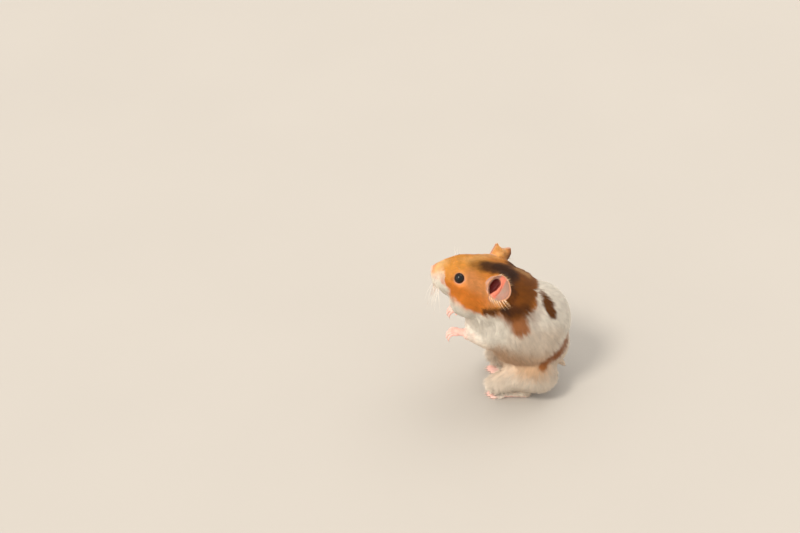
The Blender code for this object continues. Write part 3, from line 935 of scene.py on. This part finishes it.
def tuft_mesh(name, tufts):
    """One mesh of closed three-sided spikes."""
    count, corners = len(tufts["root"]), len(TUFT_ALONG)
    root, reach = tufts["root"], tufts["reach"]
    across = unit(np.cross(reach, tufts["up"]))
    up = unit(np.cross(across, reach))
    half = across * (tufts["width"] / 2)[:, None]
    ridge = up * (tufts["width"] * RIDGE)[:, None]
    points = np.stack((root - half, root + half, root + ridge, root + reach), axis=1)
    loops = np.concatenate(TUFT_FACES)
    first = np.arange(count)[:, None] * corners
    mesh = bpy.data.meshes.new(name)
    mesh.vertices.add(count * corners)
    mesh.loops.add(count * len(loops))
    mesh.polygons.add(count * len(TUFT_FACES))
    mesh.vertices.foreach_set("co", points.astype(np.float32).ravel())
    mesh.loops.foreach_set("vertex_index", (loops[None] + first).astype(np.int32).ravel())
    mesh.polygons.foreach_set("loop_start", np.arange(0, count * len(loops), 3, dtype=np.int32))
    mesh.update(calc_edges=True)
    obj = new_object(name, mesh)
    set_bake_map(obj, tufts["uv"][:, None] + np.array(TUFT_UV)[loops][None] * PATCH_SIZE)
    set_values(obj, "root", np.repeat(root + reach * COLOUR_POINT, corners, axis=0), "FLOAT_VECTOR")
    set_values(obj, "shade", np.repeat(tufts["shade"], corners))
    set_values(obj, "along", np.tile(TUFT_ALONG, count))
    mesh.shade_smooth()
    soft = np.repeat(unit(tufts["normal"] + 0.25 * unit(reach)), corners, axis=0)
    share = SOFT_UNDERNEATH + (1 - SOFT_UNDERNEATH) * smooth_step(-0.8, 0.0, soft[:, 2:])
    share = SOFT_NORMALS * share
    mesh.normals_split_custom_set_from_vertices(unit(vertex_normals(obj) * (1 - share) + soft * share))
    return obj


def sow(skin, count, weights, rng):
    """Random root places on the skin, by area and weight, with the skin's values there."""
    corners = triangles(skin.data)
    co, normals = vertex_places(skin), vertex_normals(skin)
    a, b, c = (co[corners[:, corner]] for corner in range(3))
    areas = np.linalg.norm(np.cross(b - a, c - a), axis=1) / 2 * weights[corners].mean(axis=1)
    chosen = corners[rng.choice(len(corners), count, p=areas / areas.sum())]
    first, second = rng.random(count), rng.random(count)
    fold = first + second > 1
    first[fold], second[fold] = 1 - first[fold], 1 - second[fold]
    shares = np.stack((1 - first - second, first, second), axis=1)

    def at_root(values):
        return (values[chosen] * (shares if values.ndim == 1 else shares[:, :, None])).sum(axis=1)

    tufts = {"root": at_root(co), "normal": unit(at_root(normals))}
    for key, name in (("length", "coat_length"), ("depth", "coat_depth"), ("ear", "ear")):
        tufts[key] = at_root(get_values(skin, name))
    return tufts


def grow_coat(skin, sizes):
    """Tufts over all the furred skin, gathered in locks, in bands from the nose to the rump."""
    rng = np.random.default_rng(COAT_SEED)
    noise.seed_set(COAT_SEED)
    count = sizes.tufts
    crowding = 1 + FACE_CROWDING * fade(get_values(skin, "coat_length"), 1.0, 4.0)
    tufts = sow(skin, count, (1 - get_values(skin, "bare")) * crowding, rng)
    root, normal = tufts["root"], tufts["normal"]
    middle = lock_middles(root, rng)
    looseness = rise(tufts["length"], 1.0, 4.5)
    turn = rng.normal(0, LOCK_TURN, (count, 3))[middle] + ruffle(root[middle], *RUFFLE)
    flow = lie_of_coat(root, normal, tufts["ear"])
    stray = rng.normal(0, STRAY, (count, 3))
    flow = along_skin(flow + turn * (0.4 + 0.6 * looseness)[:, None] + stray, normal)
    length = tufts["length"] * rng.uniform(0.75, 1.1, count) * rng.uniform(0.85, 1.1, count)[middle]
    lift = rng.uniform(0.15, 0.55, count) * tufts["depth"] + 0.09 * length + ROOT_SINK * MM
    inward = root[middle] - root
    draw = along_skin(inward, normal) * np.linalg.norm(inward, axis=1)[:, None]
    draw *= (LOCK_PULL * (0.3 + 0.7 * looseness))[:, None]
    reach = flow * length[:, None] + draw + normal * lift[:, None]
    reach[:, 2] = np.maximum(reach[:, 2], LOWEST_TIP * MM - root[:, 2])
    tufts["reach"] = reach
    tufts["up"] = normal + np.cross(flow, normal) * rng.normal(0, 0.3, count)[:, None]
    tufts["width"] = (THINNEST * MM + WIDTH_SHARE * length) * rng.uniform(0.75, 1.25, count)
    tufts["root"] = root - normal * (ROOT_SINK * MM)
    tufts["shade"] = 0.55 * rng.random(count) + 0.45 * rng.random(count)[middle]
    tufts["uv"] = unwrapped(root, guide_unwrap(skin))
    order = np.argsort(root @ np.array(BAND_AXIS), kind="stable")
    return [
        tuft_mesh(f"coat_band_{number}", {key: values[chosen] for key, values in tufts.items()})
        for number, chosen in enumerate(np.array_split(order, COAT_BANDS), 1)
    ]


# --- Eyes, claws and whiskers -----------------------------------------------------------------------

def make_eye(name):
    """A smooth globe with the slight swell of the cornea."""
    low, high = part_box(name)
    centre, radius = (low + high) / 2, (high - low).z / 2
    pick()
    bpy.ops.mesh.primitive_ico_sphere_add(subdivisions=5, radius=radius, location=centre)
    eye = bpy.context.object
    settle(eye)
    axis = unit(np.array(EYE_AXIS) * (1 if centre.x > 0 else -1, 1, 1))
    co = vertex_places(eye)
    reach = co - np.array(centre)
    front = smooth_step(0.55, 1.0, unit(reach) @ axis)
    move_vertices(eye, co + unit(reach) * (CORNEA * MM * front)[:, None])
    eye.name = eye.data.name = f"{name}_globe"
    bpy.ops.object.shade_smooth()
    return eye


def tapered_tubes(name, paths, radii, sides):
    """Closed tubes along some paths, each path an array of points, with a radius at every point."""
    verts, faces = [], []
    for path, thickness in zip(paths, radii):
        first = len(verts)
        along = unit(np.gradient(path, axis=0))
        start = np.array((0.0, 0.0, 1.0)) if abs(along[0][2]) < 0.9 else np.array((1.0, 0.0, 0.0))
        for point, way, radius in zip(path, along, thickness):
            across = unit(np.cross(way, start))
            other = np.cross(way, across)
            for corner in range(sides):
                turn = 2 * math.pi * corner / sides
                verts.append(point + radius * (math.cos(turn) * across + math.sin(turn) * other))
        for ring in range(len(path) - 1):
            for corner in range(sides):
                a, b = first + ring * sides + corner, first + ring * sides + (corner + 1) % sides
                faces.append((a, b, b + sides, a + sides))
        faces.append(tuple(range(first + sides - 1, first - 1, -1)))
        last = first + (len(path) - 1) * sides
        faces.append(tuple(range(last, last + sides)))
    mesh = bpy.data.meshes.new(name)
    mesh.from_pydata([tuple(vert) for vert in verts], [], faces)
    obj = new_object(name, mesh)
    finish_surface(obj)
    return obj


def make_hairs(name, paths, radii, skin):
    """Fine closed tubes. On OFBake each is a small patch at its root's place on the unwrapped skin."""
    hairs = tapered_tubes(name, paths, radii, HAIR_SIDES)
    patches = []
    for spot, path in zip(unwrapped([path[0] for path in paths], guide_unwrap(skin)), paths):
        across, along = np.meshgrid(np.linspace(-0.5, 0.5, HAIR_SIDES), np.linspace(0, 1, len(path)))
        patches.append(spot + np.stack((across.ravel(), along.ravel()), axis=1) * PATCH_SIZE)
    set_bake_map(hairs, np.concatenate(patches)[read(hairs.data.loops, "vertex_index", kind=np.int32)])
    return hairs


def curved_path(start, way, bend, length, steps):
    """Points of a path that sets out one way and is bent evenly another way."""
    share = np.linspace(0, 1, steps)[:, None]
    return np.array(start) + (np.array(way) * share + np.array(bend) * share * share) * length


def make_claws(sizes):
    """A small hooked claw at the end of every finger and toe."""
    paths, radii = [], []
    for sign in SIDES.values():
        for kind in (FINGER_ENDS, TOE_ENDS):
            for number in range(kind["count"]):
                across = number - (kind["count"] - 1) / 2
                side, back, up = kind["middle"]
                end = place(side + kind["pitch"] * across, back + kind["short"] * across ** 2, up, sign)
                paths.append(curved_path(end, kind["way"], kind["bend"], sizes.claw_length, 7))
                radii.append(CLAW_RADIUS * MM * np.linspace(1, 0, 7) ** 0.6 + 0.02 * MM)
    return tapered_tubes("claws", paths, radii, 8)


def make_whiskers(skin, sizes):
    """Whiskers in rows on each pad, drooping forward and down, and a few bristles over the eyes."""
    rng = np.random.default_rng(WHISKER_SEED)
    tree = surface_tree(skin)
    paths, radii = [], []
    for sign in SIDES.values():
        for number in range(sizes.whiskers):
            row, column = number % WHISKER_ROWS, number // WHISKER_ROWS
            side, back, up = WHISKER_PAD
            root = tree.find_nearest(place(side + 0.5 * row, back + 0.8 * column, up - row, sign))[0]
            way = sign * rng.uniform(0.3, 0.8), rng.uniform(-0.50, 0.05), rng.uniform(-0.9, -0.3)
            bend = np.array((sign * 0.1, rng.uniform(0.0, 0.25), rng.uniform(-0.5, -0.2)))
            paths.append(curved_path(root, unit(np.array(way)), bend, rng.uniform(7, 11.5) * MM, 12))
            radii.append(np.linspace(WHISKER_RADIUS, 0.012, 12) * MM)
        for number in range(BROW_HAIRS):
            side, back, up = BROW
            root = tree.find_nearest(place(side + 0.7 * number, back + 1.1 * number, up, sign))[0]
            way = unit(np.array((sign * rng.uniform(0.1, 0.5), rng.uniform(-0.6, 0.1), 1.0)))
            paths.append(curved_path(root, way, (sign * 0.2, 0.3, -0.1), rng.uniform(4, 6) * MM, 9))
            radii.append(np.linspace(WHISKER_RADIUS * 0.6, 0.012, 9) * MM)
    return make_hairs("whiskers", paths, radii, skin)


def make_ear_hairs(skin, sizes):
    """Fine pale hairs along the rim of each ear, and a few longer locks that hang behind and below it."""
    rng = np.random.default_rng(WHISKER_SEED)
    paths, radii = [], []
    for name, sign in SIDES.items():
        rearward, upward, facing = (np.array(axis) for axis in ear_axes(name))
        rearward = rearward * sign
        for _ in range(sizes.ear_hairs):
            angle = math.radians(rng.uniform(20, 235))
            root = ear_point(name, math.cos(angle) * 0.98, math.sin(angle) * 0.98, rng.uniform(-1.2, -0.2))
            out = rearward * math.cos(angle) + upward * math.sin(angle)
            way = unit(out * 0.4 + facing * rng.uniform(0.0, 0.3) + rearward * 0.8 + rng.normal(0, 0.2, 3))
            paths.append(curved_path(root, way, -facing * 0.2, rng.uniform(0.8, 2.4) * MM, 6))
            radii.append(np.linspace(0.045, 0.01, 6) * MM)
        for number in range(sizes.ear_hairs):
            lock = number % EAR_LOCKS
            across = -0.62 + 1.25 * lock / (EAR_LOCKS - 1) + rng.normal(0, 0.035)
            root = ear_point(name, across, -math.sqrt(1 - across * across) * rng.uniform(0.92, 1.0), 0.3)
            way = unit(-upward + facing * 0.25 + rearward * (0.55 + 0.10 * lock) + rng.normal(0, 0.05, 3))
            paths.append(curved_path(root, way, -facing * 0.3, rng.uniform(3.4, 6.2) * MM, 8))
            radii.append(np.linspace(0.05, 0.01, 8) * MM)
    return make_hairs("ear_hairs", paths, radii, skin)


# --- Materials --------------------------------------------------------------------------------------

def feed(tree, socket, value):
    """Set a socket to a value, or link it to the socket that gives its value."""
    if isinstance(value, bpy.types.NodeSocket):
        tree.links.new(value, socket)
    else:
        socket.default_value = value


def add_node(tree, kind, inputs, **settings):
    """A shader node with some settings; an input is a value or the socket that feeds it."""
    made = tree.nodes.new(kind)
    for key, value in settings.items():
        setattr(made, key, value)
    for key, value in inputs.items():
        feed(tree, made.inputs[key], value)
    return made


def vector_math(tree, operation, first, second=(0, 0, 0), scale=1.0):
    made = add_node(tree, "ShaderNodeVectorMath", {0: first, 1: second, 3: scale}, operation=operation)
    return made.outputs["Value" if operation in ("DOT_PRODUCT", "DISTANCE") else "Vector"]


def calculate(tree, operation, first, second):
    return add_node(tree, "ShaderNodeMath", {0: first, 1: second}, operation=operation).outputs[0]


def ramp(tree, value, low, high, first=0.0, last=1.0):
    """A value carried smoothly from one range to another."""
    inputs = {"Value": value, "From Min": low, "From Max": high, "To Min": first, "To Max": last}
    made = add_node(tree, "ShaderNodeMapRange", inputs, interpolation_type="SMOOTHSTEP", clamp=True)
    return made.outputs["Result"]


def blend_colours(tree, factor, first, second):
    return add_node(tree, "ShaderNodeMix", {0: factor, 6: first, 7: second}, data_type="RGBA").outputs[2]


def mottle(tree, where, scale, detail, output="Fac"):
    """Soft noise over a surface."""
    inputs = {"Vector": where, "Scale": scale, "Detail": detail}
    return add_node(tree, "ShaderNodeTexNoise", inputs).outputs[output]


def own_place(tree):
    """The place on the piece itself."""
    return add_node(tree, "ShaderNodeTexCoord", {}).outputs["Object"]


def attribute(tree, name, output="Fac"):
    return add_node(tree, "ShaderNodeAttribute", {}, attribute_name=name).outputs[output]


def paint(colour, strength=1.0):
    return (*(channel * strength for channel in colour), 1.0)


def new_group(name, inputs, outputs):
    """An empty node group with named sockets, and its input and output nodes."""
    tree = bpy.data.node_groups.new(name, "ShaderNodeTree")
    for label, kind in inputs:
        tree.interface.new_socket(label, in_out="INPUT", socket_type=f"NodeSocket{kind}")
    for label, kind in outputs:
        tree.interface.new_socket(label, in_out="OUTPUT", socket_type=f"NodeSocket{kind}")
    return tree, tree.nodes.new("NodeGroupInput"), tree.nodes.new("NodeGroupOutput")


def use_group(tree, name, inputs):
    return add_node(tree, "ShaderNodeGroup", inputs, node_tree=bpy.data.node_groups[name]).outputs[0]


def band_mask(tree, spot, start, end, radius, softness):
    """1 within a radius of the straight line between two places, 0 beyond its soft edge."""
    run = Vector(end) - Vector(start)
    gap = vector_math(tree, "SUBTRACT", spot, start)
    share = vector_math(tree, "DOT_PRODUCT", gap, tuple(run / max(run.length_squared, 1e-6)))
    share = add_node(tree, "ShaderNodeClamp", {"Value": share}).outputs[0]
    foot = vector_math(tree, "SCALE", tuple(run), scale=share)
    off = vector_math(tree, "DISTANCE", gap, foot)
    return ramp(tree, off, radius * (1 + softness), radius * (1 - softness))


def hood_mask(tree, spot):
    """1 above the lower and rear edge of the hood."""
    axes = add_node(tree, "ShaderNodeSeparateXYZ", {0: spot})
    behind = calculate(tree, "DIVIDE", axes.outputs[1], CHART)
    chart = add_node(tree, "ShaderNodeFloatCurve", {"Value": behind})
    curve = chart.mapping.curves[0]
    points = [(back / CHART, up / CHART) for back, up in HOOD_EDGE]
    curve.points[0].location, curve.points[1].location = points[0], (1.0, points[-1][1])
    for point in points[1:]:
        curve.points.new(*point)
    chart.mapping.update()
    edge = calculate(tree, "MULTIPLY", chart.outputs[0], CHART)
    return ramp(tree, calculate(tree, "SUBTRACT", axes.outputs[2], edge), -HOOD_SOFTNESS, HOOD_SOFTNESS)


def build_markings(colours):
    """The coat's colour at a place: a white coat, the orange hood and the brown and dark marks."""
    tree, group_in, group_out = new_group("coat_markings", (("Place", "Vector"),), (("Colour", "Color"),))
    scaled = vector_math(tree, "SCALE", group_in.outputs[0], scale=1 / MM)
    spot = vector_math(tree, "SUBTRACT", scaled, (0, NOSE_TIP / MM, 0))
    ragged = spot
    for waves, amount in RAGGED_EDGES:
        centred = vector_math(tree, "SUBTRACT", mottle(tree, spot, waves, 2.0, "Color"), (0.5, 0.5, 0.5))
        ragged = vector_math(tree, "ADD", ragged, vector_math(tree, "SCALE", centred, scale=amount))
    colour = paint(colours.white)
    for mark, *band, strength in MARKS:
        if mark == "hood":
            colour = blend_colours(tree, hood_mask(tree, ragged), colour, paint(colours.orange))
            continue
        mask = calculate(tree, "MULTIPLY", band_mask(tree, ragged, *band), strength)
        colour = blend_colours(tree, mask, colour, paint(getattr(colours, mark)))
    shade = ramp(tree, mottle(tree, spot, *CLOUDS), 0.3, 0.7, 0.90, 1.06)
    tree.links.new(vector_math(tree, "SCALE", colour, scale=shade), group_out.inputs[0])


def build_skin_grain():
    """Fine wrinkles and pores of bare skin, as a height."""
    inputs = (("Place", "Vector"), ("Scale", "Float"))
    tree, group_in, group_out = new_group("skin_grain", inputs, (("Height", "Float"),))
    where, scale = group_in.outputs[0], group_in.outputs[1]
    pores = add_node(tree, "ShaderNodeTexVoronoi", {"Vector": where, "Scale": scale}).outputs["Distance"]
    folds = mottle(tree, where, calculate(tree, "MULTIPLY", scale, 0.45), 4.0)
    height = calculate(tree, "ADD", calculate(tree, "MULTIPLY", pores, 0.6), folds)
    tree.links.new(height, group_out.inputs[0])


def new_material(name, **values):
    """A material with constant values on its shader, and that shader."""
    material = bpy.data.materials.new(name)
    material.use_nodes = True
    shader = material.node_tree.nodes["Principled BSDF"]
    for key, value in values.items():
        shader.inputs[key.replace("_", " ")].default_value = value
    return material, material.node_tree, shader


def two_tone(name, waves, detail, edges, first, last, **values):
    """A material whose colour drifts between two, on the piece's own coordinates."""
    material, tree, shader = new_material(name, **values)
    drift = mottle(tree, own_place(tree), waves, detail)
    if edges:
        drift = ramp(tree, drift, *edges)
    feed(tree, shader.inputs["Base Color"], blend_colours(tree, drift, paint(*first), paint(*last)))
    return material


def skin_material(colours):
    """Undercoat where the skin is furred; pink, grey and dark red skin where it is bare, the dark red in the
    ears' hollows partly painted shade.
    """
    material, tree, shader = new_material(
        "skin", Roughness=0.5, Specular_IOR_Level=0.35, Subsurface_Weight=0.12, Subsurface_Scale=1.2 * MM,
        Subsurface_Radius=(1.0, 0.35, 0.2),
    )
    where = own_place(tree)
    coat = vector_math(tree, "SCALE", use_group(tree, "coat_markings", {"Place": where}), scale=0.8)
    blush = mottle(tree, where, 260.0, 3.0)
    bare = blend_colours(tree, ramp(tree, blush, 0.35, 0.7), paint(colours.pink), paint(colours.pink, 0.82))
    flesh = paint(colours.flesh)
    flap = blend_colours(tree, ramp(tree, blush, 0.3, 0.65, 0, 0.18), paint(colours.grey), flesh)
    flap = blend_colours(tree, attribute(tree, "ear_fold"), flap, flesh)
    flap = blend_colours(tree, attribute(tree, "ear_rim"), flap, paint(colours.rim))
    for part, colour in (
        # The ears' hollows are painted dark red: reddish skin with painted shade in the recess.
        ("ear_inside", flap), ("ear_hollow", paint(colours.red_skin_and_painted_shade)),
        ("nose", paint(colours.nose)), ("lid", paint(colours.lid)),
    ):
        bare = blend_colours(tree, attribute(tree, part), bare, colour)
    feed(tree, shader.inputs["Base Color"], blend_colours(tree, attribute(tree, "bare"), coat, bare))
    grain = use_group(tree, "skin_grain", {"Place": where, "Scale": 1900.0})
    bump = add_node(tree, "ShaderNodeBump", {"Height": grain, "Strength": 0.35, "Distance": 0.08 * MM})
    feed(tree, shader.inputs["Normal"], bump.outputs[0])
    return material


def hair_material():
    """Hair: the markings at each tuft's root, darker down in the coat, each tuft a little different."""
    material, tree, shader = new_material(
        "coat_hair", Roughness=0.75, Specular_IOR_Level=0.15, Sheen_Weight=0.12, Sheen_Roughness=0.5,
    )
    colour = use_group(tree, "coat_markings", {"Place": attribute(tree, "root", "Vector")})
    depth = ramp(tree, attribute(tree, "along"), 0.0, 0.8, 0.88, 1.03)
    change = ramp(tree, attribute(tree, "shade"), 0.0, 1.0, 1 - COLOUR_GRAIN, 1 + COLOUR_GRAIN / 2)
    colour = vector_math(tree, "SCALE", colour, scale=calculate(tree, "MULTIPLY", depth, change))
    feed(tree, shader.inputs["Base Color"], colour)
    return material


def eye_material(colours):
    """A wet black globe, faintly brown where the light goes in."""
    return two_tone(
        "eye_globe", 900.0, 2.0, (0.4, 0.7), (colours.eye,), (colours.eye, 2.2),
        Roughness=0.06, Specular_IOR_Level=0.25, Coat_Weight=0.25, Coat_Roughness=0.02,
    )


def claw_material(colours):
    """Pale horn, a little darker in streaks."""
    return two_tone(
        "claw_horn", 1500.0, 2.0, (0.3, 0.7), (colours.claw,), (colours.claw, 0.7),
        Roughness=0.35, Specular_IOR_Level=0.5,
    )


def whisker_material(colours):
    """Pale bristles, some of them dark."""
    return two_tone(
        "whisker_hair", 160.0, 1.0, (0.55, 0.68), (colours.white,), (colours.tongue,),
        Roughness=0.4, Specular_IOR_Level=0.5,
    )


def ear_hair_material(colours):
    """Pale gold hairs."""
    return two_tone(
        "ear_hair", 700.0, 1.0, (0.4, 0.6, 0.1, 0.55), (colours.light,), (colours.white, 0.8),
        Roughness=0.5, Specular_IOR_Level=0.3,
    )


def floor_material(colours):
    """A plain pale floor, barely mottled."""
    return two_tone("floor", 9.0, 2.0, (), (colours.floor,), (colours.floor, 0.95), Roughness=0.7)


def dress(obj, material, slot, *nodes):
    """Give a piece its material and the body it rides on, and hide the nodes it stands for; its slot is not
    used.
    """
    obj.data.materials.clear()
    obj.data.materials.append(material)
    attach(obj, "root")
    if nodes:
        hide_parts(*nodes)


# --- Stage ------------------------------------------------------------------------------------------

def make_floor():
    pick()
    bpy.ops.mesh.primitive_plane_add(size=FLOOR_SIZE, location=(0, 0, -FLOOR_DROP * MM))
    floor = bpy.context.object
    floor.name = floor.data.name = "floor"
    settle(floor)
    return floor


def add_sun(name, toward, strength, width, colour):
    """A soft distant light."""
    data = bpy.data.lights.new(name, "SUN")
    data.energy, data.angle, data.color = strength, math.radians(width), colour
    sun = new_object(name, data)
    sun.location = Vector(toward)
    sun.rotation_euler = Vector(toward).to_track_quat("Z", "Y").to_euler()


def light_studio(scene):
    """An even pale surround, and the soft suns."""
    world = bpy.data.worlds.new("studio")
    world.use_nodes = True
    background = world.node_tree.nodes["Background"]
    background.inputs["Color"].default_value = (*WORLD_COLOUR, 1)
    background.inputs["Strength"].default_value = WORLD_STRENGTH
    scene.world = world
    scene.view_settings.view_transform = "Standard"
    for light in LIGHTS:
        add_sun(*light)


def make_camera():
    """A long lens level with the left side, looking down on it, with the animal right of the middle."""
    data = bpy.data.cameras.new("camera")
    data.lens, data.sensor_width = CAMERA_LENS, CAMERA_SENSOR
    data.clip_start, data.clip_end = 0.01, 20
    camera = new_object("camera", data)
    target = Vector((0, 0, CAMERA_TARGET * MM))
    camera.location = target + CAMERA_DISTANCE * Vector((math.cos(CAMERA_RISE), 0, math.sin(CAMERA_RISE)))
    down, right = (math.atan(share * CAMERA_SENSOR / CAMERA_LENS) for share in (AIM_DOWN, AIM_RIGHT))
    camera.rotation_mode = "QUATERNION"
    aside = Euler((down, right, 0)).to_quaternion()
    camera.rotation_quaternion = (target - camera.location).to_track_quat("-Z", "Y") @ aside
    bpy.context.scene.camera = camera


# --- Operators --------------------------------------------------------------------------------------

class HAMSTER_OT_materials(bpy.types.Operator):
    """Builds the shared node groups: the coat's markings and the grain of bare skin"""

    bl_idname = "hamster.materials"
    bl_label = "Marking and grain groups"

    def execute(self, context):
        build_markings(context.scene.hamster_colours)
        build_skin_grain()
        return {"FINISHED"}


class HAMSTER_OT_skin(bpy.types.Operator):
    """Fuses copies of the flesh solids into one skin, sinks it under the coat and shapes the face"""

    bl_idname = "hamster.skin"
    bl_label = "Skin"

    def execute(self, context):
        skin = make_skin(context.scene.hamster_sizes)
        flesh = (*FURRED, *PAWS, *EARS, "nose", "tail")
        dress(skin, skin_material(context.scene.hamster_colours), "coat", *flesh)
        return {"FINISHED"}


class HAMSTER_OT_eyes(bpy.types.Operator):
    """Puts a glossy globe in each eye"""

    bl_idname = "hamster.eyes"
    bl_label = "Eyes"

    def execute(self, context):
        material = eye_material(context.scene.hamster_colours)
        for name in EYES:
            dress(make_eye(name), material, "eye", name)
        return {"FINISHED"}


class HAMSTER_OT_claws(bpy.types.Operator):
    """Adds a claw to every finger and toe"""

    bl_idname = "hamster.claws"
    bl_label = "Claws"

    def execute(self, context):
        claws = make_claws(context.scene.hamster_sizes)
        dress(claws, claw_material(context.scene.hamster_colours), "bare_skin")
        return {"FINISHED"}


class HAMSTER_OT_coat(bpy.types.Operator):
    """Grows the coat's tufts over the skin"""

    bl_idname = "hamster.coat"
    bl_label = "Coat"

    def execute(self, context):
        material = hair_material()
        for band in grow_coat(bpy.data.objects["skin"], context.scene.hamster_sizes):
            dress(band, material, "coat")
        return {"FINISHED"}


class HAMSTER_OT_whiskers(bpy.types.Operator):
    """Adds the whiskers and the bristles over the eyes"""

    bl_idname = "hamster.whiskers"
    bl_label = "Whiskers"

    def execute(self, context):
        whiskers = make_whiskers(bpy.data.objects["skin"], context.scene.hamster_sizes)
        dress(whiskers, whisker_material(context.scene.hamster_colours), "coat")
        return {"FINISHED"}


class HAMSTER_OT_ear_hairs(bpy.types.Operator):
    """Adds the fine pale hairs on and below the ears"""

    bl_idname = "hamster.ear_hairs"
    bl_label = "Ear hairs"

    def execute(self, context):
        hairs = make_ear_hairs(bpy.data.objects["skin"], context.scene.hamster_sizes)
        dress(hairs, ear_hair_material(context.scene.hamster_colours), "coat")
        return {"FINISHED"}


class HAMSTER_OT_stage(bpy.types.Operator):
    """Sets up the plain floor, the soft lights and the camera"""

    bl_idname = "hamster.stage"
    bl_label = "Stage"

    def execute(self, context):
        floor = make_floor()
        floor.data.materials.append(floor_material(context.scene.hamster_colours))
        light_studio(context.scene)
        make_camera()
        return {"FINISHED"}


OPERATORS = (
    HAMSTER_OT_materials, HAMSTER_OT_skin, HAMSTER_OT_eyes, HAMSTER_OT_claws, HAMSTER_OT_coat,
    HAMSTER_OT_whiskers, HAMSTER_OT_ear_hairs, HAMSTER_OT_stage,
)


class HAMSTER_PT_sidebar(bpy.types.Panel):
    """Sizes, colours and the steps of the model"""

    bl_label = "Syrian Hamster"
    bl_idname = "HAMSTER_PT_sidebar"
    bl_space_type = "VIEW_3D"
    bl_region_type = "UI"
    bl_category = "Hamster"

    def draw(self, context):
        layout = self.layout
        for settings in (context.scene.hamster_sizes, context.scene.hamster_colours):
            for name in settings.__annotations__:
                layout.prop(settings, name)
        for operator in OPERATORS:
            layout.operator(operator.bl_idname)


CLASSES = (HamsterSizes, HamsterColours, *OPERATORS, HAMSTER_PT_sidebar)


def register():
    for made in CLASSES:
        bpy.utils.register_class(made)
    bpy.types.Scene.hamster_sizes = PointerProperty(type=HamsterSizes)
    bpy.types.Scene.hamster_colours = PointerProperty(type=HamsterColours)


def unregister():
    del bpy.types.Scene.hamster_colours
    del bpy.types.Scene.hamster_sizes
    for made in reversed(CLASSES):
        bpy.utils.unregister_class(made)


def main():
    register()
    for operator in OPERATORS:
        getattr(bpy.ops.hamster, operator.bl_idname.split(".")[1])()


if __name__ == "__main__":
    main()
